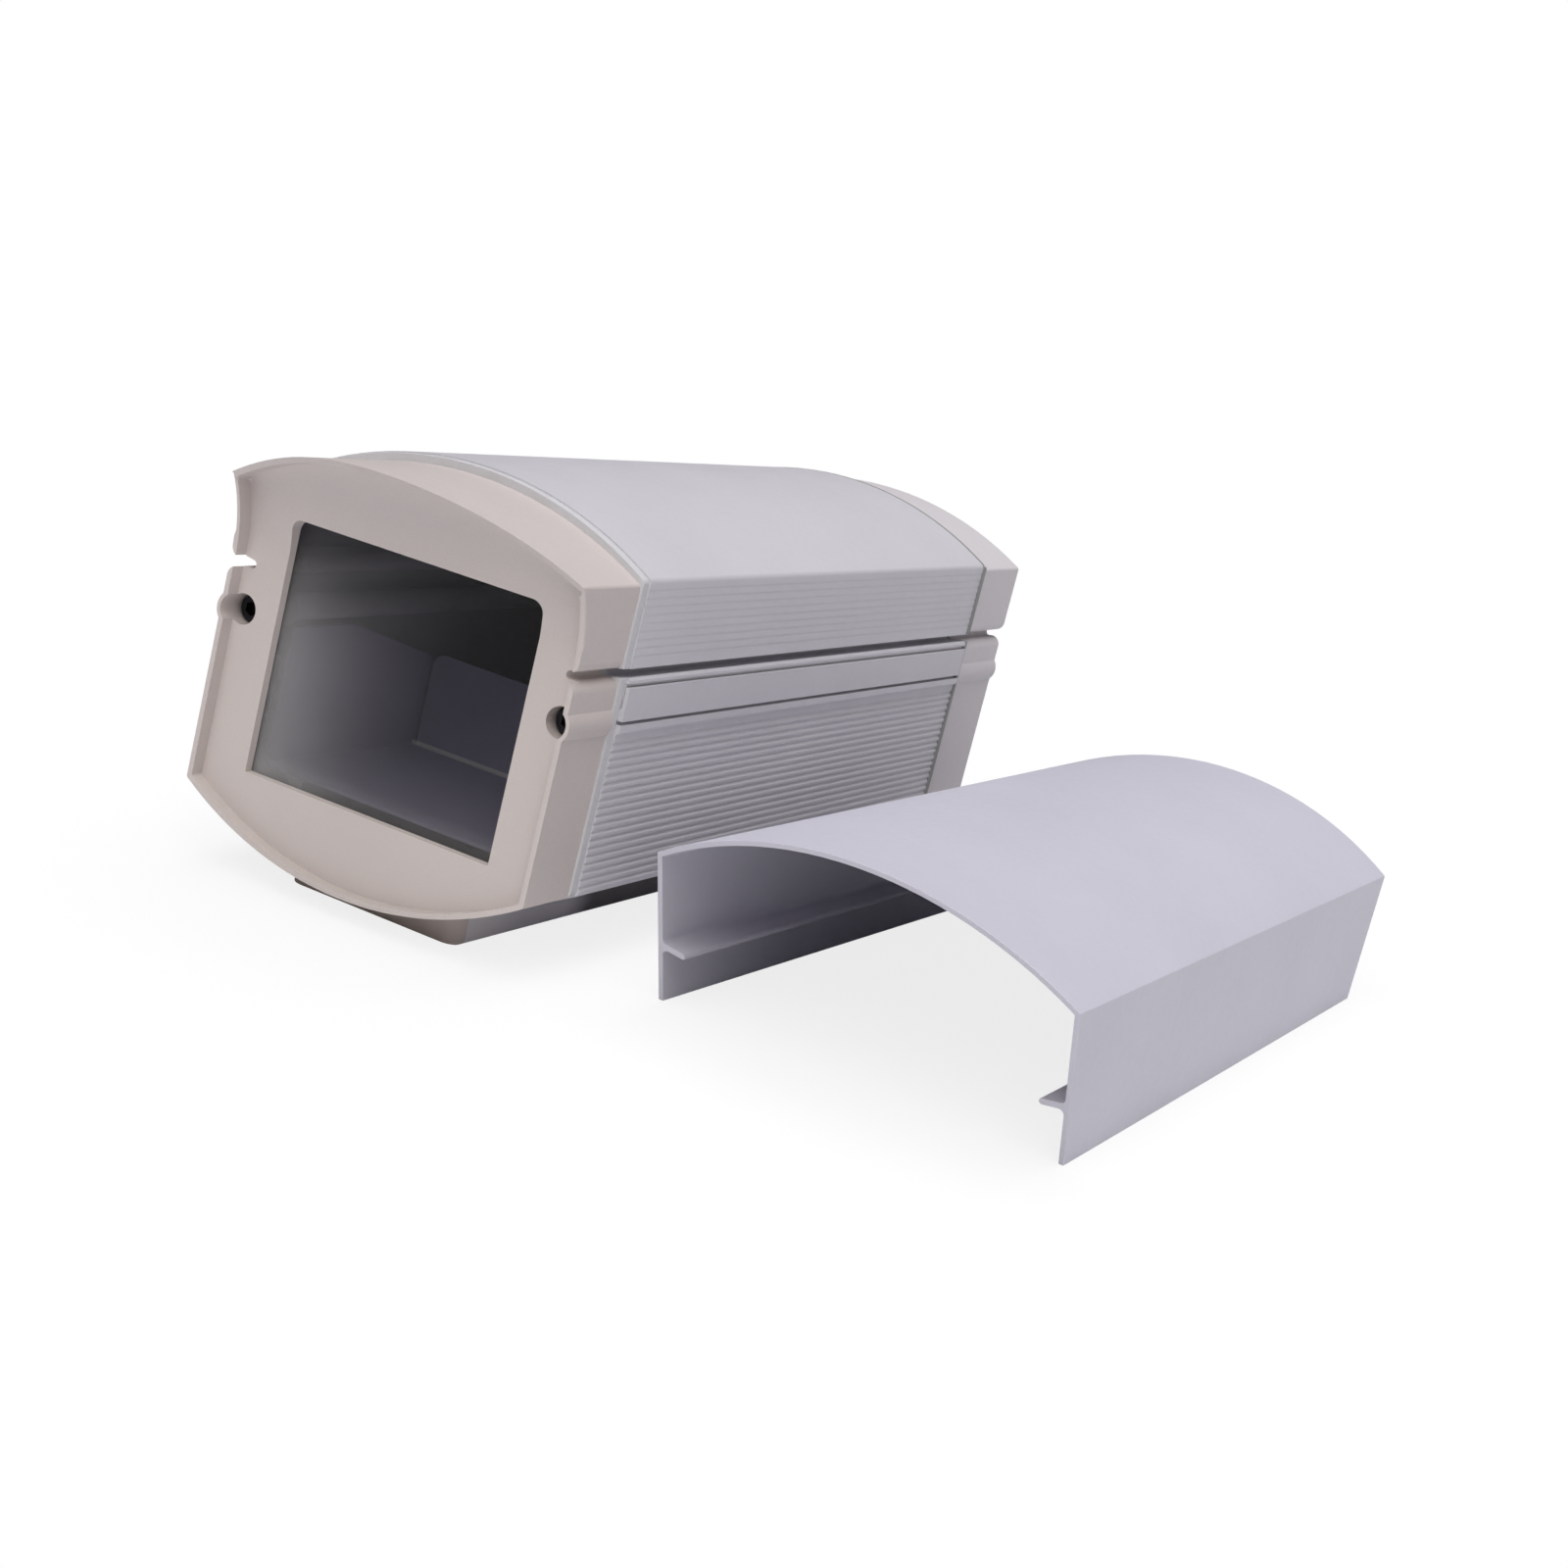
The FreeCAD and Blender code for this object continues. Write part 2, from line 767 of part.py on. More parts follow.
def make_lower_shell():
    """Base extrusion with the hooked upstand, the screw ports and the tray ribs."""
    side = size.shell_base_half_width
    band = size.shell_half_width + size.band_proud
    wall = size.shell_wall
    seam_z = size.seam_height - size.seam_gap / 2
    low_side, low_arch = corner_to_arch(side, SHELL_BASE, size.shell_corner_radius, above=False)
    skirt_x = band - wall
    upstand_x = skirt_x - size.lap_clearance
    bead_x = upstand_x + size.bead_proud
    inner_upstand_x = upstand_x - size.upstand_wall
    top_z = size.upstand_top_height
    bead_z = top_z - size.bead_height
    inner_x = side - wall
    inner_base = SHELL_BASE.inset(wall)
    shoulder_z = size.band_bottom_height
    right = [low_arch, Bend(size.shell_corner_radius), low_side, (side, shoulder_z)]
    right += [(band, shoulder_z + band - side), (band, seam_z), (upstand_x, seam_z)]
    right += [(upstand_x, bead_z), (bead_x, bead_z), (bead_x, top_z), (inner_upstand_x, top_z)]
    right += [(inner_upstand_x, shoulder_z), (inner_x, shoulder_z - (inner_x - inner_upstand_x))]
    right += [(inner_x, inner_base.centre_height - inner_base.half_span(inner_x))]
    left = mirrored_path(right)
    section = right + [Bend(inner_base.radius, left=False)] + reversed_path(left) + [Bend(SHELL_BASE.radius)]
    body = new_body("lower_shell")
    add_pad(body, "LowerSection", "XZ", SHELL_FRONT_Y, SHELL_BACK_Y, [section])

    ports = [Ring(across, size.cap_screw_height, size.port_radius) for _, across in screw_axes()]
    add_pad(body, "PortRods", "XZ", SHELL_FRONT_Y, SHELL_BACK_Y, ports)
    middle_base = SHELL_BASE.inset(wall / 2)
    for name, low_x, high_x, top in tray_ribs():
        foot_z = middle_base.centre_height - middle_base.half_span(low_x)
        rib = [(low_x, foot_z), (high_x, middle_base.centre_height - middle_base.half_span(high_x))]
        rib += [(high_x, top), (low_x, top)]
        add_pad(body, name, "XZ", SHELL_FRONT_Y, SHELL_BACK_Y, [rib, reversed_path(mirrored_path(rib))])
    add_flutes(body, "Lower", side, size.lower_flute_depth, size.lower_flute_start, size.lower_flute_end)
    bores = [Ring(across, size.cap_screw_height, size.cap_screw_radius + size.thread_clearance)
             for _, across in screw_axes()]
    add_pocket(body, "PortBores", "XZ", SHELL_FRONT_Y, SHELL_BACK_Y, bores)
    bite_z = size.tray_floor_height - size.lock_screw_bite
    add_pocket(body, "LockScrewHoles", "XY", bite_z - size.lap_clearance, size.tray_floor_height,
               lock_screw_rings(size.lock_screw_radius + size.thread_clearance))
    add_pocket(body, "FootScrewHoles", "XY", 0, bite_z,
               foot_screw_rings(size.foot_screw_radius + size.hole_clearance))


def tray_ribs():
    """Name, inner side, outer side and top of the ribs that carry and guide the tray."""
    rib_top = size.tray_floor_height - size.tray_running_gap
    guide_x = size.tray_half_width + size.tray_running_gap
    lock_in = size.lock_slot_offset - size.lock_rib_half_width
    lock_out = size.lock_slot_offset + size.lock_rib_half_width
    return (
        ("LockRibs", lock_in, lock_out, rib_top),
        ("GuideRibs", guide_x, guide_x + size.guide_rib_wall, size.guide_rib_height),
    )


def lock_screw_rings(radius):
    along = FRONT_Y + size.lock_screw_depth
    return [Ring(size.lock_slot_offset, along, radius), Ring(-size.lock_slot_offset, along, radius)]


def foot_screw_places():
    """Places along the middle line of the screws that hold the foot, as many as fit between its ends."""
    end_room = size.foot_cap_depth + size.foot_cap_plug_depth + size.foot_cap_clearance + size.foot_nut_radius
    count = int(whole_steps(size.foot_length - 2 * end_room, size.foot_screw_spacing).value)
    middle = (count - 1) / 2
    return [size.foot_screw_spacing * (index - middle) for index in range(count)]


def foot_screw_rings(radius):
    return [Ring(0, along, radius) for along in foot_screw_places()]


def make_seam_seals():
    """Rubber strips between the lower shell's upstand and the underside of the groove."""
    band = size.shell_half_width + size.band_proud
    upstand_x = band - size.shell_wall - size.lap_clearance
    high_x = upstand_x + size.bead_proud
    low_x = upstand_x - size.upstand_wall
    around = size.groove_half_height + size.groove_wall
    base_z = size.upstand_top_height
    loop = [(low_x, base_z), (high_x, base_z)]
    loop += [(high_x, groove_edge_height(high_x, -around)), (low_x, groove_edge_height(low_x, -around))]
    group("seam_seals", mirrored_pair("SeamSeal", "XZ", SHELL_FRONT_Y, SHELL_BACK_Y, loop))


def make_ring_seal(label, start, end):
    """Seal around an end of the shells, with a hole for each cap screw and the groove left open."""
    name = label.title().replace("_", "")
    side = size.shell_half_width - size.seal_inset
    top = SHELL_TOP.inset(size.seal_inset)
    base = SHELL_BASE.inset(size.seal_inset)
    corner = size.shell_corner_radius
    blank_loop = outline(side, top, base, corner)
    blank = prism(name + "Blank", "XZ", start, end, [blank_loop])
    hollow_loop = outline(side - size.seal_side_width, top.inset(size.seal_arch_width),
                          base.inset(size.seal_base_width), corner)
    hollow = prism(name + "Hollow", "XZ", start, end, [hollow_loop])
    around = size.groove_half_height + size.groove_wall
    bulges = mirrored_pair(name + "Bulge", "XZ", start, end, groove_loop(around, side))
    pads = [cylinder(name + "Pad" + which, "y", start, end, across, size.cap_screw_height, size.port_radius)
            for which, across in screw_axes()]
    opening = cut(name + "Opening", hollow, *bulges, *pads)
    slots = mirrored_pair(name + "Slot", "XZ", start, end,
                          groove_loop(size.groove_half_height, side + PAST))
    holes = [cylinder(name + "Hole" + which, "y", start, end, across, size.cap_screw_height,
                      size.cap_screw_radius + size.hole_clearance) for which, across in screw_axes()]
    as_node(cut(name, blank, opening, *slots, *holes), label)


def cap_shared_cuts(name, start, end):
    """The notch and the screw hole on each side of an end cap."""
    cuts = mirrored_pair(name + "Notch", "XZ", start - PAST, end + PAST, notch_loop(size.cap_half_width))
    hole_radius = size.cap_screw_radius + size.hole_clearance
    cuts += [cylinder(name + "Hole" + which, "y", start - PAST, end + PAST, across,
                      size.cap_screw_height, hole_radius) for which, across in screw_axes()]
    return cuts


def cap_cavity(name, start, end, keep_out):
    """The hollow of an end cap, less the walls around its notches and the screw bosses."""
    wall = size.cap_wall
    loop = outline(size.cap_half_width - wall, CAP_TOP.inset(wall), CAP_BASE.inset(wall),
                   size.cap_inner_corner_radius)
    hollow = prism(name + "Hollow", "XZ", start, end, [loop])
    around = size.groove_half_height + size.notch_wall
    walls = mirrored_pair(name + "NotchWall", "XZ", start, end, groove_loop(around, size.cap_half_width))
    walls += [cylinder(name + "InnerBoss" + which, "y", start, end, across, size.cap_screw_height,
                       size.cap_boss_radius) for which, across in screw_axes()]
    return cut(name + "Cavity", hollow, *walls, *keep_out)


def visor_depth(radius, height):
    """How far behind the rim plane a visor circle lies at a height."""
    above_centre = height - size.visor_start_height
    return root(radius.squared() - above_centre.squared()) - size.visor_radius


def retainer_screw_places():
    """Places across and up of the six screws of the glass retainer."""
    low = size.window_bottom_height - size.glass_margin - size.retainer_screw_margin
    high = size.window_top_height + size.glass_margin + size.retainer_screw_margin
    return [(size.retainer_screw_spacing * step, up) for up in (low, high) for step in (-1, 0, 1)]


def make_front_cap():
    """Front casting: a rim swept forward into a visor, a recessed face and the window opening."""
    front = FRONT_Y
    sweep_z = size.visor_start_height
    high_z = size.visor_start_height + size.visor_radius - PAST / 4
    rim = size.visor_radius
    face = rim + size.face_depth + size.visor_recess_gain
    inside = face + size.visor_wall
    far_y = front - size.visor_radius
    blank_loop = outline(size.cap_half_width, CAP_TOP, CAP_BASE, size.cap_corner_radius)
    section = prism("FrontCapSection", "XZ", far_y, CAP_BACK_Y, [blank_loop])
    bosses = [cylinder("FrontCapBoss" + which, "y", far_y, CAP_BACK_Y, across, size.cap_screw_height,
                       size.cap_boss_radius) for which, across in screw_axes()]
    rim_side = [(front, 0), (CAP_BACK_Y, 0), (CAP_BACK_Y, high_z)]
    rim_side += [(front + visor_depth(rim, high_z), high_z), Bend(rim, left=False), (front, sweep_z)]
    width = size.cap_half_width + PAST
    side_view = prism("FrontCapSideView", "YZ", -width, width, [rim_side])
    blank = common("FrontCapBlank", fuse("FrontCapMass", section, *bosses), side_view)

    rim_wall = size.rim_wall
    recess_loop = outline(size.cap_half_width - rim_wall, CAP_TOP.inset(rim_wall), CAP_BASE.inset(rim_wall),
                          size.cap_corner_radius)
    recess_section = prism("RecessSection", "XZ", far_y, CAP_BACK_Y, [recess_loop])
    crease = sweep_z + root(face.squared() - (rim + size.face_depth).squared())
    recess_side = [(far_y, 0), (front + size.face_depth, 0), (front + size.face_depth, crease)]
    recess_side += [Bend(face), (front + visor_depth(face, high_z), high_z), (far_y, high_z)]
    recess = common("Recess", recess_section, prism("RecessSideView", "YZ", -width, width, [recess_side]))

    ledge_y = front + size.ledge_depth
    ledge_top_z = size.window_top_height + size.glass_margin + 2 * size.retainer_screw_margin
    boss_end_y = ledge_y + size.glass_gasket_thickness + size.glass_thickness
    retainer_bosses = [cylinder(f"RetainerBoss{index}", "y", far_y, boss_end_y, across, up,
                                size.retainer_boss_radius)
                       for index, (across, up) in enumerate(retainer_screw_places())]
    cavity_section = cap_cavity("FrontCap", far_y, CAP_BACK_Y, retainer_bosses)
    cavity_side = [(ledge_y, 0), (CAP_BACK_Y, 0), (CAP_BACK_Y, high_z)]
    cavity_side += [(front + visor_depth(inside, high_z), high_z), Bend(inside, left=False)]
    cavity_side += [(front + visor_depth(inside, ledge_top_z), ledge_top_z), (ledge_y, ledge_top_z)]
    cavity = common("FrontCavity", cavity_section,
                    prism("CavitySideView", "YZ", -width, width, [cavity_side]))

    window_loop = window_outline()
    window = prism("WindowCut", "XZ", far_y, CAP_BACK_Y, [window_loop])
    counterbores = [cylinder("FrontCounterbore" + which, "y", far_y, front + size.cap_screw_seat_depth,
                             across, size.cap_screw_height, size.counterbore_radius)
                    for which, across in screw_axes()]
    threads = [cylinder(f"RetainerThread{index}", "y", boss_end_y - size.retainer_screw_bite, CAP_BACK_Y,
                        across, up, size.retainer_screw_radius + size.thread_clearance)
               for index, (across, up) in enumerate(retainer_screw_places())]
    shared = cap_shared_cuts("FrontCap", far_y, CAP_BACK_Y)
    as_node(cut("FrontCap", blank, recess, cavity, window, *counterbores, *threads, *shared), "front_cap")


def window_outline():
    """The window opening: round top corners and sharp bottom corners."""
    half_width, radius = size.window_half_width, size.window_corner_radius
    low, high = size.window_bottom_height, size.window_top_height
    right = [(half_width, low), (half_width, high - radius), Bend(radius), (half_width - radius, high)]
    return right + reversed_path(mirrored_path(right))


def make_window():
    """Glass, its gasket, the two strips that hold it from behind and the strips' screws."""
    ledge_y = FRONT_Y + size.ledge_depth
    glass_y = ledge_y + size.glass_gasket_thickness
    glass_back_y = glass_y + size.glass_thickness
    half_width = size.window_half_width + size.glass_margin
    low = size.window_bottom_height - size.glass_margin
    high = size.window_top_height + size.glass_margin
    inset = size.glass_gasket_inset
    corner = size.glass_corner_radius
    bottom_z, top_z = size.window_bottom_height - inset, size.window_top_height + inset
    glass_loop = rounded_rectangle(half_width, low, high, corner)
    frame_hole = rounded_rectangle(size.window_half_width + inset, bottom_z, top_z, corner)
    gasket = new_body("glass_gasket")
    add_pad(gasket, "GasketFrame", "XZ", ledge_y, glass_y, [glass_loop, frame_hole])
    glass = new_body("window_glass")
    add_pad(glass, "GlassPane", "XZ", glass_y, glass_back_y, [glass_loop])

    retainer_back_y = glass_back_y + size.retainer_thickness
    strip_half = size.retainer_screw_spacing + size.retainer_end_margin
    strip_corner = size.retainer_corner_radius
    hole_radius = size.retainer_screw_radius + size.hole_clearance
    holes = [cylinder(f"RetainerHole{index}", "y", glass_back_y, retainer_back_y, across, up, hole_radius)
             for index, (across, up) in enumerate(retainer_screw_places())]
    strips = []
    for name, strip_low, strip_high in (("RetainerBottom", low - size.retainer_ear, bottom_z),
                                        ("RetainerTop", top_z, high + size.retainer_ear)):
        strip = prism(name + "Blank", "XZ", glass_back_y, retainer_back_y,
                      [rounded_rectangle(strip_half, strip_low, strip_high, strip_corner)])
        strips.append(cut(name, strip, *holes))
    group("retainer_strips", strips)

    screws = []
    for index, (across, up) in enumerate(retainer_screw_places()):
        head_y = retainer_back_y + size.retainer_screw_head_height
        shank_y = glass_back_y - size.retainer_screw_bite + size.hole_clearance
        head = cylinder(f"RetainerHead{index}", "y", retainer_back_y, head_y, across, up,
                        size.retainer_screw_head_radius)
        shank = cylinder(f"RetainerShank{index}", "y", shank_y, retainer_back_y, across, up,
                         size.retainer_screw_radius)
        screws.append(fuse(f"RetainerScrew{index}", head, shank))
    group("retainer_screws", screws)


def make_rear_cap():
    """Rear casting: closed at the back, with two holes for the cable glands."""
    blank_loop = outline(size.cap_half_width, CAP_TOP, CAP_BASE, size.cap_corner_radius)
    section = prism("RearCapSection", "XZ", REAR_CAP_Y, BACK_Y, [blank_loop])
    bosses = [cylinder("RearCapBoss" + which, "y", REAR_CAP_Y, BACK_Y, across, size.cap_screw_height,
                       size.cap_boss_radius) for which, across in screw_axes()]
    cavity = cap_cavity("RearCap", REAR_CAP_Y, BACK_Y - size.rear_wall, [])
    counterbores = [cylinder("RearCounterbore" + which, "y", BACK_Y - size.cap_screw_seat_depth,
                             BACK_Y + PAST, across, size.cap_screw_height, size.counterbore_radius)
                    for which, across in screw_axes()]
    gland_holes = [cylinder(f"GlandHole{index}", "y", REAR_CAP_Y, BACK_Y + PAST, across, size.gland_height,
                            size.gland_thread_radius + size.hole_clearance)
                   for index, across in enumerate(gland_places())]
    shared = cap_shared_cuts("RearCap", REAR_CAP_Y, BACK_Y)
    as_node(cut("RearCap", fuse("RearCapMass", section, *bosses), cavity, *counterbores, *gland_holes,
                *shared), "rear_cap")


def cap_screw(name, across, seat_y, tip_y, forward):
    """Socket head screw along Y. Its head stands in front of the seat, or behind it at the rear."""
    up = size.cap_screw_height
    head_height, socket_depth = size.cap_screw_head_height, size.cap_screw_socket_depth
    if forward:
        head_y = seat_y - head_height
        head_span, shank_span = (head_y, seat_y), (seat_y, tip_y)
        socket_span = (head_y - PAST, head_y + socket_depth)
    else:
        head_y = seat_y + head_height
        head_span, shank_span = (seat_y, head_y), (tip_y, seat_y)
        socket_span = (head_y - socket_depth, head_y + PAST)
    head = cylinder(name + "Head", "y", *head_span, across, up, size.cap_screw_head_radius)
    shank = cylinder(name + "Shank", "y", *shank_span, across, up, size.cap_screw_radius)
    socket = hexagon(name + "Socket", "y", *socket_span, across, up, size.cap_screw_socket_radius)
    return cut(name, fuse(name + "Solid", head, shank), socket)


def make_cap_screws():
    front_seat_y = FRONT_Y + size.cap_screw_seat_depth
    rear_seat_y = BACK_Y - size.cap_screw_seat_depth
    front_tip_y = SHELL_FRONT_Y + size.cap_screw_bite
    rear_tip_y = SHELL_BACK_Y - size.cap_screw_bite
    group("front_cap_screws", [cap_screw("FrontScrew" + which, across, front_seat_y, front_tip_y, True)
                               for which, across in screw_axes()])
    group("rear_cap_screws", [cap_screw("RearScrew" + which, across, rear_seat_y, rear_tip_y, False)
                              for which, across in screw_axes()])


def gland_places():
    return (-size.gland_spacing / 2, size.gland_spacing / 2)


def make_glands():
    """Two cable glands: body, gasket under its collar, rubber insert, dome nut and inner lock nut."""
    up = size.gland_height
    gasket_y = BACK_Y + size.gland_gasket_thickness
    collar_y = gasket_y + size.gland_collar_height
    barrel_y = collar_y + size.gland_barrel_height
    tail_y = BACK_Y - size.gland_tail_length
    lock_y = BACK_Y - size.rear_wall
    insert_y = barrel_y - size.gland_insert_length
    nut_y = collar_y + size.hole_clearance
    mouth_y = nut_y + size.gland_nut_height
    dome_y = nut_y + size.gland_nut_height / 2
    bore, barrel = size.gland_bore_radius, size.gland_barrel_radius
    running = size.thread_clearance
    bodies, gaskets, inserts, nuts, lock_nuts = [], [], [], [], []
    for index, across in enumerate(gland_places()):
        tag = f"Gland{index}"
        collar = hexagon(tag + "Collar", "y", gasket_y, collar_y, across, up, size.gland_collar_radius)
        stem = cylinder(tag + "Stem", "y", collar_y, barrel_y, across, up, barrel)
        tail = cylinder(tag + "Tail", "y", tail_y, gasket_y, across, up, size.gland_thread_radius)
        hollow = cylinder(tag + "Bore", "y", tail_y, barrel_y, across, up, bore)
        bodies.append(cut(tag + "Body", fuse(tag + "Mass", collar, stem, tail), hollow))
        washer = cylinder(tag + "Washer", "y", BACK_Y, gasket_y, across, up,
                          size.gland_collar_radius * HEXAGON_FLAT_SHARE)
        washer_hole = cylinder(tag + "WasherHole", "y", BACK_Y, gasket_y, across, up,
                               size.gland_thread_radius + running)
        gaskets.append(cut(tag + "Gasket", washer, washer_hole))
        plug = cylinder(tag + "Plug", "y", insert_y, barrel_y, across, up, bore - running)
        cable = cylinder(tag + "Cable", "y", insert_y, barrel_y, across, up, size.gland_cable_radius)
        inserts.append(cut(tag + "Insert", plug, cable))
        hexes = hexagon(tag + "NutHex", "y", nut_y, dome_y, across, up, size.gland_nut_radius)
        dome = cone(tag + "Dome", "y", dome_y, mouth_y, across, up,
                    size.gland_nut_radius * HEXAGON_FLAT_SHARE, size.gland_nut_tip_radius)
        nut_bore = cylinder(tag + "NutBore", "y", nut_y, barrel_y + running, across, up, barrel + running)
        mouth = cylinder(tag + "Mouth", "y", nut_y, mouth_y, across, up, size.gland_nut_mouth_radius)
        nuts.append(cut(tag + "Nut", fuse(tag + "NutMass", hexes, dome), nut_bore, mouth))
        lock = hexagon(tag + "Lock", "y", lock_y - size.gland_lock_nut_height, lock_y, across, up,
                       size.gland_lock_nut_radius)
        lock_hole = cylinder(tag + "LockHole", "y", tail_y, lock_y, across, up,
                             size.gland_thread_radius + running)
        lock_nuts.append(cut(tag + "LockNut", lock, lock_hole))
    group("gland_bodies", bodies)
    group("gland_gaskets", gaskets)
    group("gland_inserts", inserts)
    group("gland_nuts", nuts)
    group("gland_lock_nuts", lock_nuts)


def foot_loop(inset_side, floor_z, depth, corner):
    """Foot section: flat underside and a top that follows the shell's base, depth below it."""
    half_width = size.foot_half_width - inset_side
    top_radius = SHELL_BASE.radius + depth
    top_z = SHELL_BASE.centre_height - root(top_radius.squared() - half_width.squared())
    right = [(half_width - corner, floor_z), Bend(corner), (half_width, floor_z + corner)]
    right += [(half_width, top_z)]
    return right + [Bend(top_radius, left=False)] + reversed_path(mirrored_path(right))


def cap_bed_loop():
    """What the foot leaves free for the end caps, whose bases hang lower than the shell's."""
    half_width = size.foot_half_width + PAST
    right = [(half_width, CAP_BASE.centre_height - CAP_BASE.half_span(half_width))]
    right += [(half_width, size.shell_base_height)]
    return right + reversed_path(mirrored_path(right)) + [Bend(CAP_BASE.radius)]


def mount_places():
    half_across, half_along = size.mount_spacing_across / 2, size.mount_spacing_along / 2
    return [(across, along) for across in (-half_across, half_across) for along in (-half_along, half_along)]


def make_foot():
    """Hollow foot extrusion with plugged ends, threaded inserts, and screws and nuts to the shell."""
    rail_end = size.foot_length / 2 - size.foot_cap_depth
    corner = size.foot_corner_radius
    outer = foot_loop(as_size(0), as_size(0), as_size(0), corner)
    inner = foot_loop(size.foot_side_wall, size.foot_plate, size.foot_flange, corner)
    rail = new_body("foot_rail")
    add_pad(rail, "RailSection", "XZ", -rail_end, rail_end, [outer, inner])
    body_rings = [Ring(across, along, size.insert_body_radius + size.thread_clearance)
                  for across, along in mount_places()]
    flange_rings = [Ring(across, along, size.insert_flange_radius + size.thread_clearance)
                    for across, along in mount_places()]
    inner_z = size.foot_plate + size.thread_clearance
    add_pocket(rail, "InsertHoles", "XY", 0, inner_z, body_rings)
    add_pocket(rail, "InsertRecesses", "XY", 0, size.insert_flange_height, flange_rings)
    add_pocket(rail, "RailScrewHoles", "XY", inner_z, size.foot_plate + PAST,
               foot_screw_rings(size.foot_screw_radius + size.hole_clearance))
    beds = (("FrontCapBed", FRONT_Y, CAP_BACK_Y, -CAP_BACK_Y), ("RearCapBed", REAR_CAP_Y, BACK_Y, REAR_CAP_Y))
    for name, low, high, reach in beds:
        if rail_end.value > reach.value:
            add_pocket(rail, name, "XZ", low, high, [cap_bed_loop()])

    clearance = size.foot_cap_clearance
    plug = foot_loop(size.foot_side_wall + clearance, size.foot_plate + clearance,
                     size.foot_flange + clearance, corner)
    cap_beds = {"Front": (FRONT_Y, CAP_BACK_Y), "Rear": (REAR_CAP_Y, BACK_Y)}
    ends = []
    for which, sign in (("Front", -1), ("Rear", 1)):
        face_y, joint_y = sign * size.foot_length / 2, sign * rail_end
        plug_y = sign * (rail_end - size.foot_cap_plug_depth)
        low, high = (face_y, joint_y) if sign < 0 else (joint_y, face_y)
        plug_low, plug_high = (joint_y, plug_y) if sign < 0 else (plug_y, joint_y)
        plate = prism(f"Foot{which}Plate", "XZ", low, high, [outer])
        plan = common(f"Foot{which}Face", plate, foot_cap_plan(which, sign))
        solid = fuse(f"Foot{which}Solid", plan, prism(f"Foot{which}Plug", "XZ", plug_low, plug_high, [plug]))
        bed = prism(f"Foot{which}Bed", "XZ", *cap_beds[which], [cap_bed_loop()])
        ends.append(cut(f"Foot{which}Cap", solid, bed))
    group("foot_end_caps", ends)

    inserts = []
    for index, (across, along) in enumerate(mount_places()):
        tag = f"Insert{index}"
        flange = cylinder(tag + "Flange", "z", 0, size.insert_flange_height, across, along,
                          size.insert_flange_radius)
        barrel = cylinder(tag + "Barrel", "z", 0, size.insert_length, across, along, size.insert_body_radius)
        bore = cylinder(tag + "Bore", "z", 0, size.insert_length, across, along, size.insert_hole_radius)
        inserts.append(cut(tag, fuse(tag + "Mass", flange, barrel), bore))
    group("foot_inserts", inserts)

    shell_z = SHELL_BASE.centre_height - SHELL_BASE.radius
    flange_z = shell_z - size.foot_flange
    inner_base = SHELL_BASE.inset(size.shell_wall)
    seat_z = inner_base.centre_height - inner_base.half_span(size.foot_screw_head_radius)
    screws, nuts = [], []
    for index, along in enumerate(foot_screw_places()):
        tag = f"FootScrew{index}"
        shank = cylinder(tag + "Shank", "z", size.foot_screw_end_height, seat_z, 0, along,
                         size.foot_screw_radius)
        head = cylinder(tag + "Head", "z", seat_z, seat_z + size.foot_screw_head_height, 0, along,
                        size.foot_screw_head_radius)
        screws.append(fuse(tag, shank, head))
        nut = hexagon(f"FootNut{index}Hex", "z", flange_z - size.foot_nut_height, flange_z, 0, along,
                      size.foot_nut_radius)
        nut_hole = cylinder(f"FootNut{index}Hole", "z", 0, flange_z, 0, along,
                            size.foot_screw_radius + size.thread_clearance)
        nuts.append(cut(f"FootNut{index}", nut, nut_hole))
    group("foot_screws", screws)
    group("foot_nuts", nuts)


def foot_cap_plan(which, sign):
    """Plan view of a foot end cap with its two rounded upright corners."""
    half_width, radius = size.foot_half_width, size.foot_cap_corner_radius
    face_y, joint_y = size.foot_length / 2, size.foot_length / 2 - size.foot_cap_depth
    right = [(half_width, joint_y), (half_width, face_y - radius), Bend(radius)]
    right += [(half_width - radius, face_y)]
    loop = right + reversed_path(mirrored_path(right))
    if sign < 0:
        loop = [Bend(item.radius, not item.left) if isinstance(item, Bend) else (item[0], -item[1])
                for item in loop]
    return prism(f"Foot{which}Plan", "XY", 0, size.shell_base_height, [loop])


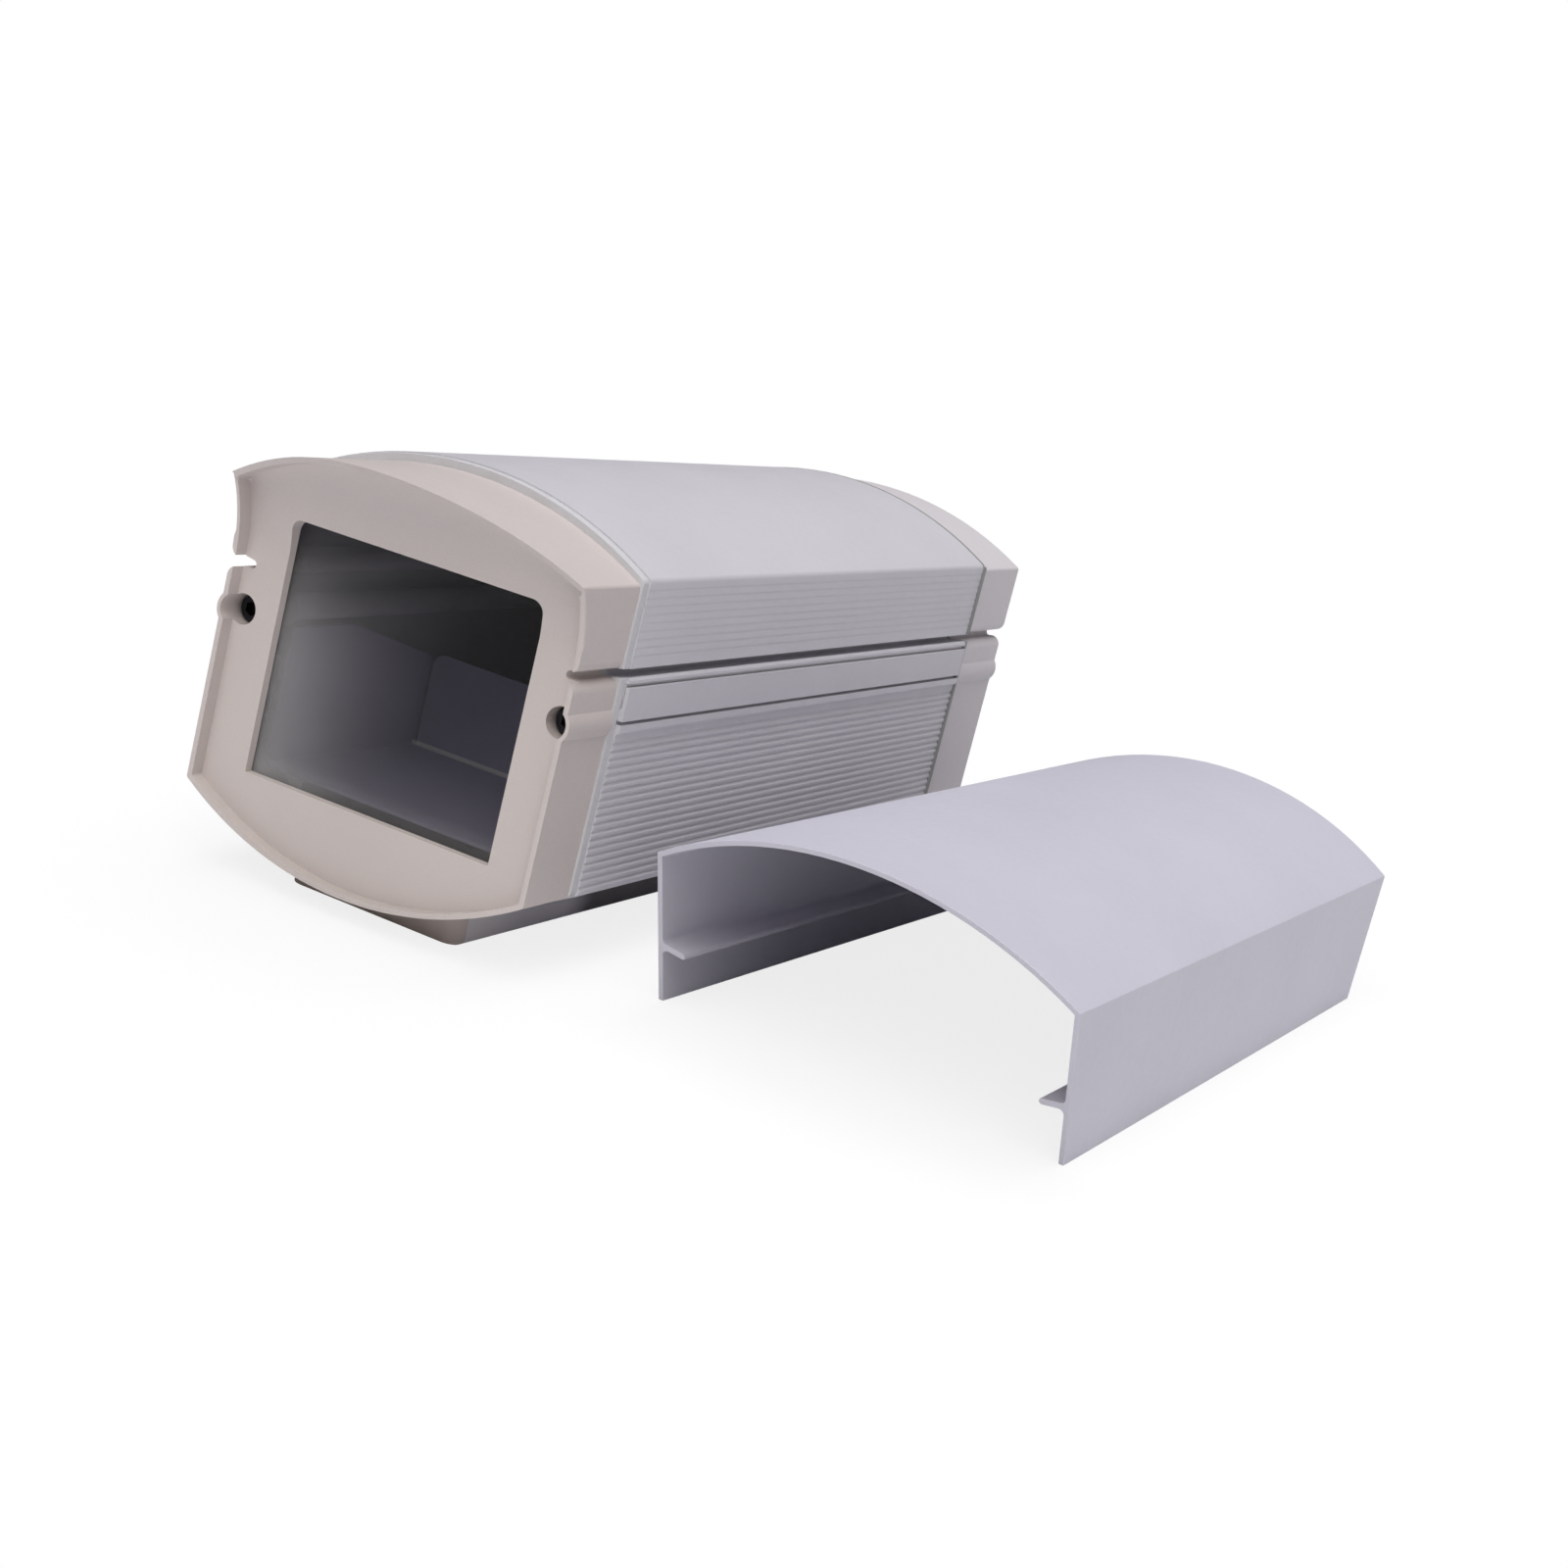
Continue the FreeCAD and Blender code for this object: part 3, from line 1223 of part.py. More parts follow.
def make_tray():
    """Folded sheet tray for the camera, with a riveted partition behind its front bay."""
    sheet, bend = size.tray_sheet, size.tray_bend_radius
    half_width, floor_z = size.tray_half_width, size.tray_floor_height
    front_y = FRONT_Y + size.tray_front_depth
    rear_y = front_y + size.tray_length
    step_y = front_y + size.tray_wall_length
    high_z = size.cap_screw_height - size.port_radius - size.tray_wall_port_gap
    inner_bend = bend - sheet
    outer = [(half_width - bend, floor_z), Bend(bend), (half_width, floor_z + bend), (half_width, high_z)]
    inner = [(half_width - sheet, high_z), (half_width - sheet, floor_z + bend)]
    inner += [Bend(inner_bend, left=False), (half_width - bend, floor_z + sheet)]
    right = outer + inner
    tray = new_body("camera_tray")
    add_pad(tray, "TrayFold", "XZ", front_y, rear_y, [right + reversed_path(mirrored_path(right))])
    trim = [(front_y + size.tray_wall_flat_length, high_z), (step_y, size.tray_wall_rear_height)]
    trim += [(step_y, size.tray_low_wall_height), (rear_y, size.tray_low_wall_height), (rear_y, high_z)]
    add_pocket(tray, "TrayTrim", "YZ", -half_width, half_width, [trim])
    camera_y = FRONT_Y + size.camera_slot_depth
    half_spacing = size.camera_slot_spacing / 2
    slots = [slot_loop(as_size(0), camera_y + shift, size.camera_slot_half_width, size.camera_slot_length)
             for shift in (-half_spacing, half_spacing)]
    lock_half_width = size.lock_screw_radius + size.lock_slot_clearance
    lock_length = size.tray_travel + 2 * lock_half_width + 2 * size.lock_slot_clearance
    lock_y = FRONT_Y + size.lock_screw_depth - size.tray_travel / 2
    slots += [slot_loop(across, lock_y, lock_half_width, lock_length)
              for across in (size.lock_slot_offset, -size.lock_slot_offset)]
    rivet_rings = [Ring(across, rivet_place(step_y), size.rivet_radius + size.thread_clearance)
                   for across in rivet_offsets()]
    add_pocket(tray, "TraySlots", "XY", floor_z, floor_z + sheet, slots + rivet_rings)

    partition = new_body("tray_partition")
    wall_half, corner = size.partition_half_width, size.partition_corner_radius
    top_z, seat_z = size.partition_height, floor_z + sheet
    wall = [(wall_half, seat_z), (wall_half, top_z - corner), Bend(corner), (wall_half - corner, top_z)]
    add_pad(partition, "PartitionWall", "XZ", step_y - sheet, step_y,
            [wall + reversed_path(mirrored_path(wall))])
    flange_half, flange_y = size.partition_flange_half_width, step_y + size.partition_flange_depth
    add_pad(partition, "PartitionFlange", "XY", seat_z, seat_z + sheet,
            [rectangle(-flange_half, step_y - sheet / 2, flange_half, flange_y)])
    add_pocket(partition, "PartitionHoles", "XY", seat_z, seat_z + sheet, rivet_rings)

    rivets = []
    for index, across in enumerate(rivet_offsets()):
        along = rivet_place(step_y)
        tag = f"Rivet{index}"
        stem = cylinder(tag + "Stem", "z", floor_z, seat_z + sheet, across, along, size.rivet_radius)
        head = cylinder(tag + "Head", "z", seat_z + sheet, seat_z + sheet + size.rivet_head_height,
                        across, along, size.rivet_head_radius)
        rivets.append(fuse(tag, stem, head))
    group("partition_rivets", rivets)

    rib_z = floor_z - size.tray_running_gap
    head_z = seat_z + size.tray_running_gap
    screws = []
    for which, across in (("Right", size.lock_slot_offset), ("Left", -size.lock_slot_offset)):
        along = FRONT_Y + size.lock_screw_depth
        shank = cylinder(f"Lock{which}Shank", "z", rib_z - size.lock_screw_bite + size.tray_running_gap,
                         head_z, across, along, size.lock_screw_radius)
        head = cylinder(f"Lock{which}Head", "z", head_z, head_z + size.lock_screw_head_height,
                        across, along, size.lock_screw_head_radius)
        screws.append(fuse(f"Lock{which}", shank, head))
    group("tray_lock_screws", screws)


def rivet_offsets():
    return (-size.rivet_spacing / 2, size.rivet_spacing / 2)


def rivet_place(step_y):
    return step_y + size.partition_flange_depth / 2


def make_sunshield():
    """Arched shield with a raked front and a rib inside each wall that fits the side groove."""
    half_width, wall = size.shield_half_width, size.shield_wall
    inner_x = half_width - wall
    height = size.shield_wall_height
    top = top_arch(half_width, height, size.shield_arch_rise)
    inner_top = top.inset(wall)
    slope = size.groove_slope
    root_z = groove_edge_height(inner_x, as_size(0)) - size.shield_fitted_height
    half = size.shield_rib_half_thickness
    nose_x = inner_x - size.shield_rib_reach + half
    nose_z = root_z - (inner_x - nose_x) * tangent(slope)
    flank = half / cosine(slope)
    bend = Bend(half, left=False)
    root_bend = Bend(size.shield_rib_root_radius)
    low_run = size.shield_rib_root_radius / tangent((RIGHT_ANGLE - slope) / 2)
    high_run = size.shield_rib_root_radius / tangent((RIGHT_ANGLE + slope) / 2)
    low_root_z, high_root_z = root_z - flank, root_z + flank
    outer = [(half_width, 0), (half_width, height)]
    inner = [(inner_x, 0), (inner_x, low_root_z - low_run), root_bend]
    inner += [(inner_x - low_run * cosine(slope), low_root_z - low_run * sine(slope))]
    inner += [(nose_x + half * sine(slope), nose_z - half * cosine(slope)), bend]
    inner += [(nose_x - half * cosine(slope), nose_z - half * sine(slope)), bend]
    inner += [(nose_x - half * sine(slope), nose_z + half * cosine(slope))]
    inner += [(inner_x - high_run * cosine(slope), high_root_z - high_run * sine(slope)), root_bend]
    inner += [(inner_x, high_root_z + high_run)]
    inner += [(inner_x, inner_top.centre_height + inner_top.half_span(inner_x))]
    outer_chain = over_the_top(outer, Bend(top.radius))
    inner_chain = over_the_top(inner, Bend(inner_top.radius))
    total_height = height + size.shield_arch_rise
    rake = size.shield_front_rake / height
    front_y = -rake * (total_height + 1)
    shield = new_body("sunshield")
    add_pad(shield, "ShieldSection", "XZ", front_y, size.shield_length,
            [outer_chain + reversed_path(inner_chain)])
    ahead = [(-rake * (total_height + PAST), total_height + PAST), (front_y - PAST, total_height + PAST)]
    ahead += [(front_y - PAST, as_size(-PAST)), (rake * PAST, as_size(-PAST))]
    add_pocket(shield, "FrontRake", "YZ", -half_width, half_width, [ahead])
    turn = Rotation(Vector(0, 0, 1), SIZES["shield_turn"])
    place(shield, size.shield_place_across, -size.shield_place_along, 0, turn)
    shield.setExpression("Placement.Rotation.Angle", size.shield_turn.formula)


def check_model():
    """Stop before anything is written if an object failed or a sub-part is not sound."""
    faults = []
    for item in doc.Objects:
        if any(word in item.State for word in ("Invalid", "Error")):
            faults.append(f"{item.Name}: {item.State}")
    for node in NODES:
        if node.Shape.isNull() or not node.Shape.isValid() or not node.Shape.Solids:
            faults.append(f"{node.Label}: unsound shape")
    if faults:
        raise RuntimeError("; ".join(faults))


def write_parts():
    os.makedirs("parts", exist_ok=True)
    for node in NODES:
        node.Shape.exportStep(os.path.join("parts", node.Label + ".step"))


make_front_cap()
make_window()
make_ring_seal("front_seal", CAP_BACK_Y, SHELL_FRONT_Y)
make_upper_shell()
make_lower_shell()
make_seam_seals()
make_ring_seal("rear_seal", SHELL_BACK_Y, REAR_CAP_Y)
make_rear_cap()
make_cap_screws()
make_glands()
make_foot()
make_tray()
make_sunshield()
doc.recompute()
check_model()
write_parts()
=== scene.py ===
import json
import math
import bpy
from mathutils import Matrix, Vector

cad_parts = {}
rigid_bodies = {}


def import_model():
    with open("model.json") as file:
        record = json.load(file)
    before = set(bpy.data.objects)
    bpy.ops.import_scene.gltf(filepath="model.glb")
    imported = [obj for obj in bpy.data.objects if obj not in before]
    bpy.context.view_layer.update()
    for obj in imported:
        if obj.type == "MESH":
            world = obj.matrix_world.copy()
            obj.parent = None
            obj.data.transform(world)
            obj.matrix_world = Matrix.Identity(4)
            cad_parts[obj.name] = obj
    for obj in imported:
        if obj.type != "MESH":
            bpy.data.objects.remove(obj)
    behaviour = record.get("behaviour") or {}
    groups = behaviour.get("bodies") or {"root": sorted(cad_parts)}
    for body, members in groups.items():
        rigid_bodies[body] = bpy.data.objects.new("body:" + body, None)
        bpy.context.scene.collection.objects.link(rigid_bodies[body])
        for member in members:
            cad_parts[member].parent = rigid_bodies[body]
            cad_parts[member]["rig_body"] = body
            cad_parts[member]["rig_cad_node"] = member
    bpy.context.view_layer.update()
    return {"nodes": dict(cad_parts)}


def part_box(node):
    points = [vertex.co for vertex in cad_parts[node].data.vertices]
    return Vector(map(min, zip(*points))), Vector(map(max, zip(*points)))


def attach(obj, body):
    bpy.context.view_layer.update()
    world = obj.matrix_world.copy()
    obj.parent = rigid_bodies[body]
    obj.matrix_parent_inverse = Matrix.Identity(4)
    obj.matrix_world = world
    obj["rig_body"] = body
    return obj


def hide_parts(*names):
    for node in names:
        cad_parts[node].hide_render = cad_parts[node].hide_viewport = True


bl_info = {
    "name": "Camera housing finish",
    "version": (1, 0, 0),
    "blender": (4, 5, 0),
    "location": "3D View > Sidebar > Housing",
    "description": "Finishes a camera housing: soft edges, hardware, paint, rubber, glass and studio",
    "category": "Object",
}

import bpy
from bpy.props import FloatProperty, FloatVectorProperty, IntProperty, PointerProperty
from mathutils import Matrix, Quaternion, Vector

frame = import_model()

MM = 0.001
HOUSING = "housing"
TRAY = "tray"
ALONG_Y = Vector((0, 1, 0))
ALONG_Z = Vector((0, 0, 1))
# Points of one mesh that lie closer than this are the same point
WELD = 0.002 * MM
# Runs a cutter past the face that it enters
PAST = 1.0 * MM
# Height of the upper edge of the band that stands out of each side of the upper shell
BAND_TOP = 111.58 * MM
# The lips of the castings' side notches end below this height
NOTCH_TOP = 122.0 * MM
# A sharper turn than this between two faces is an edge that gets rounded
SHARP = math.radians(32)
# A flatter turn than this between two triangles is none: they are one face of the real piece
FLAT = math.radians(0.4)
# How strongly large faces set the shading of small ones beside them
FACE_WEIGHT = 80
# A face whose normal has less than this along an axis looks away from the axis
SIDE_ON = 0.2
# Width of the slope around each pressed facet of a grip
GRIP_SLOPE = 0.05 * MM
# One turn of a thread: places as shares of the pitch, and how much of the depth is cut there
THREAD_FORM = ((0.15, 1.0), (0.40, 0.0), (0.60, 0.0), (0.85, 1.0))
# A raised screw head: shares of its height from the top, and of its radius
RAISED_HEAD = ((0.0, 0.0), (0.05, 0.45), (0.35, 0.86), (0.6, 1.0), (1.0, 1.0))
# Where the window's painted light begins and where it is full: to the left, downwards and at the bottom edge.
# It is a lit film on the pane that stands in for light falling on the interior behind it.
PAINTED_LIGHT_LEFT = (56.0 * MM, -56.0 * MM)
PAINTED_LIGHT_DOWN = (143.0 * MM, 75.0 * MM)
PAINTED_LIGHT_BOTTOM = (50.0 * MM, 35.0 * MM)
WHITE = (1.0, 1.0, 1.0, 1.0)


# Sizes and colours that a user would change

def length(name, description, millimetres):
    return FloatProperty(name=name, description=description, default=millimetres * MM, min=0.0,
                         precision=5, unit="LENGTH")


def colour(name, description, red, green, blue):
    return FloatVectorProperty(name=name, description=description, default=(red, green, blue), size=3,
                               min=0.0, max=1.0, subtype="COLOR")


def angle(name, description, degrees):
    return FloatProperty(name=name, description=description, default=math.radians(degrees), subtype="ANGLE")


def number(name, description, default, most=1000.0):
    return FloatProperty(name=name, description=description, default=default, min=0.0, max=most)


class EdgeSizes(bpy.types.PropertyGroup):
    """How far the edges of each kind of piece are rounded."""

    casting: length("Casting", "Edge radius of the two painted end castings", 0.45)
    rim: length("Rim", "Edge radius of the front casting's rim beside the window", 1.3)
    extrusion: length("Extrusion", "Edge radius of the shells and the foot rail", 0.14)
    shield: length("Sunshield", "Edge radius of the sunshield", 0.3)
    sheet: length("Sheet", "Edge radius of the folded tray and of the glass retainer strips", 0.2)
    rubber: length("Rubber", "Edge radius of the seals", 0.3)
    moulding: length("Moulding", "Edge radius of the moulded foot ends", 0.5)
    glass: length("Glass", "Ground edge of the window pane", 0.3)
    line_height: length("Line height", "Height of the fine slot along the top of each side band", 1.5)
    line_depth: length("Line depth", "Depth of the fine slot along the top of each side band", 1.5)
    line_drop: length("Line drop", "From the band's top edge down to the fine slot", 0.5)
    strip_depth: length("Strip depth", "How far the strip above the fine slot lies behind the band", 0.6)
    # The rear seal is pushed out to fill its joint, more at the sides, so that its dark line shows; that line
    # is partly painted shade of the joint
    seal_fill: length("Seal fill", "How far the squeezed rear seal fills its joint all round", 0.7)
    seal_bulge: length("Seal bulge", "How far it bulges further at the housing's sides", 0.8)


class HardwareSizes(bpy.types.PropertyGroup):
    """Sizes of the screws, nuts, inserts and glands that the solids leave plain."""

    thread_depth: length("Thread depth", "Depth of the small metal threads", 0.35)
    chamfer: length("Chamfer", "Chamfer of screw heads and nuts", 0.4)
    knurl_depth: length("Knurl depth", "Depth of the grip on round heads", 0.16)
    socket_depth: length("Socket depth", "Depth of the cap screws' hexagon sockets", 3.5)
    socket_radius: length("Socket radius", "Corner radius of the cap screws' hexagon sockets", 2.9)
    recess_width: length("Recess width", "Width of the cross recess in the small screws", 0.8)
    gland_thread_pitch: length("Gland thread pitch", "Pitch of the cable glands' plastic threads", 1.5)
    gland_thread_depth: length("Gland thread depth", "Depth of the cable glands' plastic threads", 0.6)
    steps: IntProperty(name="Steps", description="Steps of a full turn of a round piece", default=48,
                       min=12, max=128)


class PaintColours(bpy.types.PropertyGroup):
    """Base colours of the finishes."""

    front_cap: colour("Front cap", "Beige grey powder coat of the front casting", 0.585, 0.525, 0.505)
    rear_cap: colour("Rear cap", "Cooler grey that the coat drifts to at the rear casting", 0.63, 0.595, 0.61)
    shell: colour("Shells", "Light grey powder coat of the two shells", 0.60, 0.58, 0.615)
    shield: colour("Sunshield", "Light grey powder coat of the sunshield", 0.58, 0.565, 0.635)
    # Partly painted shade: the rail's coat is dark along its middle, partly its own dark paint and partly
    # painted shade under the shells; it turns lighter towards its ends
    foot: colour("Foot", "Dark grey powder coat of the foot rail", 0.16, 0.15, 0.145)
    foot_tip: colour("Foot tips", "Lighter grey of the rail's coat towards its ends", 0.72, 0.69, 0.70)
    foot_end: colour("Foot ends", "Brown grey plastic of the foot's ends", 0.58, 0.51, 0.48)
    tray: colour("Tray", "Satin lavender grey paint of the camera tray", 0.53, 0.51, 0.67)
    # Painted highlight: a bright line along the foot of the tray's cross wall, where light catches the bend
    tray_fold: colour("Tray fold", "Bright line at the foot of the tray's cross wall", 0.95, 0.95, 0.97)
    seal: colour("Ring seals", "Light grey rubber of the front ring seal", 0.60, 0.59, 0.61)
    # Dark rubber of the rear seal, partly painted shade: its dark tone also stands in for the shadow in the
    # joint between the shells and the rear casting
    dark_seal: colour("Rear seal", "Dark grey rubber of the rear ring seal", 0.28, 0.28, 0.275)
    black_rubber: colour("Black rubber", "Black rubber of the glands", 0.03, 0.03, 0.03)
    plastic: colour("Glands", "Black plastic of the cable glands", 0.045, 0.045, 0.05)
    black_steel: colour("Cap screws", "Black oxide of the cap screws", 0.035, 0.035, 0.04)
    zinc: colour("Small hardware", "Zinc plating of the small hardware", 0.62, 0.62, 0.64)
    # Tint darker than clear glass: partly the glass's own tint, partly painted shade that darkens the
    # housing's interior behind it
    glass: colour("Glass", "Tint of the window glass", 0.79, 0.785, 0.79)
    # Painted light: the colour of a lit film on the pane that stands in for light on the interior behind it
    dust: colour("Dust", "Dust film on the window glass", 0.80, 0.79, 0.80)


class StudioSettings(bpy.types.PropertyGroup):
    """The camera, the lamps and the floor."""

    camera_place: FloatVectorProperty(name="Camera place", description="Where the camera stands",
                                      default=(0.491851, -0.952077, 0.284317), size=3,
                                      subtype="TRANSLATION", unit="LENGTH")
    camera_yaw: angle("Yaw", "Turn of the camera to the left of the +Y axis", 23.80826)
    camera_pitch: angle("Pitch", "Tilt of the camera below the horizon", 12.34321)
    camera_roll: angle("Roll", "Roll of the camera about its view", 14.16480)
    camera_lens: number("Lens", "Focal length in millimetres on a sensor 36 mm wide", 59.272)
    key_strength: number("Key", "Strength of the wide lamp above the front", 2.06)
    top_strength: number("Top", "Strength of the wide lamp overhead", 1.79)
    side_strength: number("Side", "Strength of the wide lamp on the right", 0.3)
    warm: colour("Warm light", "Colour of the key and side lamps", 1.0, 0.985, 0.955)
    cool: colour("Cool light", "Colour of the overhead lamp", 0.91, 0.925, 1.0)
    softness: angle("Softness", "Width of the lamps as seen from the housing", 50.0)
    ambient: number("Ambient", "Strength of the even light from all round", 0.03)
    floor_size: length("Floor", "Width of the floor", 9000.0)
    floor_colour: colour("Floor colour", "Colour of the pale floor", 0.85, 0.85, 0.86)
    floor_share: number("Floor share", "Share of the floor that no shadow dims", 0.8, 1.0)
    floor_glow: number("Floor glow", "Brightness of the share that no shadow dims", 1.02)


def edges():
    return bpy.context.scene.housing_edges


def hardware():
    return bpy.context.scene.housing_hardware


def colours():
    return bpy.context.scene.housing_colours


def studio():
    return bpy.context.scene.housing_studio


# Modelling steps

def only(*pieces):
    """Select these objects alone, the first one active."""
    bpy.ops.object.select_all(action="DESELECT")
    for piece in pieces:
        piece.select_set(True)
    bpy.context.view_layer.objects.active = pieces[0]


def edit(piece, select="SELECT"):
    only(piece)
    bpy.ops.object.mode_set(mode="EDIT")
    bpy.ops.mesh.select_mode(type="FACE")
    bpy.ops.mesh.select_all(action=select)


def leave():
    bpy.ops.object.mode_set(mode="OBJECT")


def select_faces(piece, wanted):
    """Enter edit mode with the faces selected for which wanted(face) is true."""
    edit(piece, "DESELECT")
    leave()
    for face in piece.data.polygons:
        face.select = wanted(face)
    bpy.ops.object.mode_set(mode="EDIT")


def push_outside(piece, height, lean=0.0):
    """Push a ring's outer faces outwards: those that look sideways at least as much as lean says."""
    end_face = 0.5
    bpy.context.view_layer.update()

    def wanted(face):
        start = face.center + face.normal * WELD
        outer = abs(face.normal.y) < end_face and not piece.ray_cast(start, face.normal)[0]
        return outer and abs(face.normal.x) >= lean

    select_faces(piece, wanted)
    bpy.ops.mesh.extrude_region_shrink_fatten(TRANSFORM_OT_shrink_fatten={"value": height})
    leave()


def round_rim(piece, width, low):
    """Round the upright edges between the front of a casting's rim and its sides, above a height."""
    faces_front, faces_side = -0.6, 0.9
    bpy.context.view_layer.update()
    beside = {}
    for face in piece.data.polygons:
        for key in face.edge_keys:
            beside.setdefault(key, []).append(face)
    edit(piece, "DESELECT")
    bpy.ops.mesh.select_mode(type="EDGE")
    leave()
    for edge in piece.data.edges:
        faces = beside[edge.key]
        if len(faces) != 2:
            continue
        front, side = sorted(faces, key=lambda face: face.normal.y)
        between = front.normal.y < faces_front and abs(side.normal.x) > faces_side
        high = min(piece.data.vertices[index].co.z for index in edge.vertices) > low
        in_the_open = not piece.ray_cast(side.center + side.normal * WELD, side.normal)[0]
        edge.select = between and high and in_the_open
    bpy.ops.object.mode_set(mode="EDIT")
    bpy.ops.mesh.bevel(offset=width, segments=4, affect="EDGES")
    leave()


def settle(piece):
    """Put the origin at the scene's origin, with the place in the mesh."""
    only(piece)
    bpy.ops.object.transform_apply(location=True, rotation=True, scale=True)


def apply_modifier(piece, name):
    only(piece)
    bpy.ops.object.modifier_apply(modifier=name)


def soften(piece, width, segments=2):
    """Round the sharp edges and shade the faces between them evenly."""
    bevel = piece.modifiers.new("Edge", "BEVEL")
    bevel.width = width
    bevel.segments = segments
    bevel.limit_method = "ANGLE"
    bevel.angle_limit = SHARP
    bevel.use_clamp_overlap = True
    bevel.miter_outer = "MITER_ARC"
    apply_modifier(piece, "Edge")
    shade(piece)


def shade(piece, sharp=SHARP):
    only(piece)
    bpy.ops.object.shade_smooth_by_angle(angle=sharp)
    weighted = piece.modifiers.new("Shading", "WEIGHTED_NORMAL")
    weighted.keep_sharp = True
    weighted.weight = FACE_WEIGHT
    apply_modifier(piece, "Shading")


def copies(piece, offsets):
    """The piece and a copy of it at each offset, joined into one object."""
    made = [piece]
    for offset in offsets:
        only(piece)
        bpy.ops.object.duplicate()
        copy = bpy.context.object
        bpy.ops.transform.translate(value=offset)
        settle(copy)
        made.append(copy)
    only(*made)
    bpy.ops.object.join()
    return bpy.context.object


def solid_copy(node, name):
    """A welded copy of a solid of the frame, with flat regions as single faces."""
    only(frame["nodes"][node])
    bpy.ops.object.duplicate()
    piece = bpy.context.object
    piece.name = name
    piece.parent = None
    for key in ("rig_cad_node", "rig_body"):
        if key in piece:
            del piece[key]
    piece.data.name = name
    edit(piece)
    bpy.ops.mesh.remove_doubles(threshold=WELD)
    bpy.ops.mesh.dissolve_limited(angle_limit=FLAT)
    leave()
    if piece.data.has_custom_normals:
        bpy.ops.mesh.customdata_custom_splitnormals_clear()
    return piece


def turned(name, profile, centre, axis):
    """A round piece: a profile of (along, radius) points spun once about the axis through the centre."""
    centre = Vector(centre)
    side = axis.orthogonal().normalized()
    points = [centre + axis * along + side * radius for along, radius in profile]
    bpy.ops.object.select_all(action="DESELECT")
    bpy.ops.mesh.primitive_plane_add(size=MM, location=points[0])
    piece = bpy.context.object
    piece.name = name
    bpy.ops.object.mode_set(mode="EDIT")
    bpy.ops.mesh.select_mode(type="VERT")
    bpy.ops.mesh.select_all(action="SELECT")
    bpy.ops.mesh.merge(type="CENTER")
    for before, after in zip(points, points[1:]):
        bpy.ops.mesh.extrude_region_move(TRANSFORM_OT_translate={"value": after - before})
    bpy.ops.mesh.select_all(action="SELECT")
    bpy.ops.mesh.spin(steps=hardware().steps, angle=math.tau, center=centre, axis=axis)
    bpy.ops.mesh.select_all(action="SELECT")
    bpy.ops.mesh.remove_doubles(threshold=WELD)
    bpy.ops.mesh.normals_make_consistent(inside=False)
    leave()
    settle(piece)
    return piece


def hexagon(name, radius, low, high, centre, axis):
    """A hexagonal bar along an axis from low to high of the centre."""
    middle = Vector(centre) + axis * (low + high) / 2
    turn = ALONG_Z.rotation_difference(axis).to_euler()
    bpy.ops.object.select_all(action="DESELECT")
    bpy.ops.mesh.primitive_cylinder_add(vertices=6, radius=radius, depth=high - low, location=middle,
                                        rotation=turn)
    piece = bpy.context.object
    piece.name = name
    settle(piece)
    return piece


def combine(piece, other, operation):
    """Join, cut or intersect a piece with another that is used up."""
    step = piece.modifiers.new("Combine", "BOOLEAN")
    step.object = other
    step.operation = operation
    step.solver = "EXACT"
    apply_modifier(piece, "Combine")
    bpy.data.objects.remove(other)
    return piece


def flat_radius(radius):
    """From the centre of a hexagon to its flats, for a radius at its corners."""
    return radius * math.cos(math.pi / 6)


def nut_blank(name, radius, low, high, corner, centre, axis):
    """A hexagonal bar whose corners are turned off at both ends, by a height at each."""
    flat = flat_radius(radius)
    profile = [(low, 0), (low, flat), (low + corner, radius + PAST), (high - corner, radius + PAST)]
    profile += [(high, flat), (high, 0)]
    blank = hexagon(name, radius, low, high, centre, axis)
    return combine(blank, turned("turning", profile, centre, axis), "INTERSECT")


def drill(piece, radius, low, high, centre, axis):
    """Bore a straight hole through a piece that reaches from low to high along an axis."""
    profile = [(low - PAST, 0), (low - PAST, radius), (high + PAST, radius), (high + PAST, 0)]
    combine(piece, turned("bore", profile, centre, axis), "DIFFERENCE")


def cut_slot(piece, centre, size, turn=Quaternion()):
    """Cut a box of a size, turned about its centre, out of a piece."""
    bpy.ops.object.select_all(action="DESELECT")
    bpy.ops.mesh.primitive_cube_add(size=1.0, location=centre)
    blade = bpy.context.object
    blade.rotation_euler = turn.to_euler()
    blade.scale = size
    settle(blade)
    combine(piece, blade, "DIFFERENCE")


def ridges(low, high, outer, depth, pitch):
    """Profile points of a thread between two places along the axis."""
    turns = max(1, int((high - low) / pitch))
    step = (high - low) / turns
    points = []
    for turn in range(turns):
        start = low + turn * step
        points += [(start + place * step, outer - cut * depth) for place, cut in THREAD_FORM]
    return points


def threaded_end(start, end, radius, pitch=0.8 * MM, point=0.6 * MM, blunt=0.6):
    """Profile points of a screw's thread and its blunt point."""
    points = ridges(start, end - point, radius, hardware().thread_depth, pitch)
    return points + [(end, blunt * radius), (end, 0)]


def knurl(piece, centre, axis, low, high, depth):
    """Press every other face of a round side inwards, between two places along the axis."""
    centre = Vector(centre)
    side = axis.orthogonal().normalized()
    across = axis.cross(side)
    step = math.tau / hardware().steps

    def wanted(face):
        out = face.center - centre
        along = out.dot(axis)
        turn = math.atan2(out.dot(across), out.dot(side)) % math.tau
        return low < along < high and abs(face.normal.dot(axis)) < SIDE_ON and int(turn / step) % 2 == 0

    select_faces(piece, wanted)
    bpy.ops.mesh.inset(thickness=GRIP_SLOPE, depth=-depth, use_individual=True)
    leave()


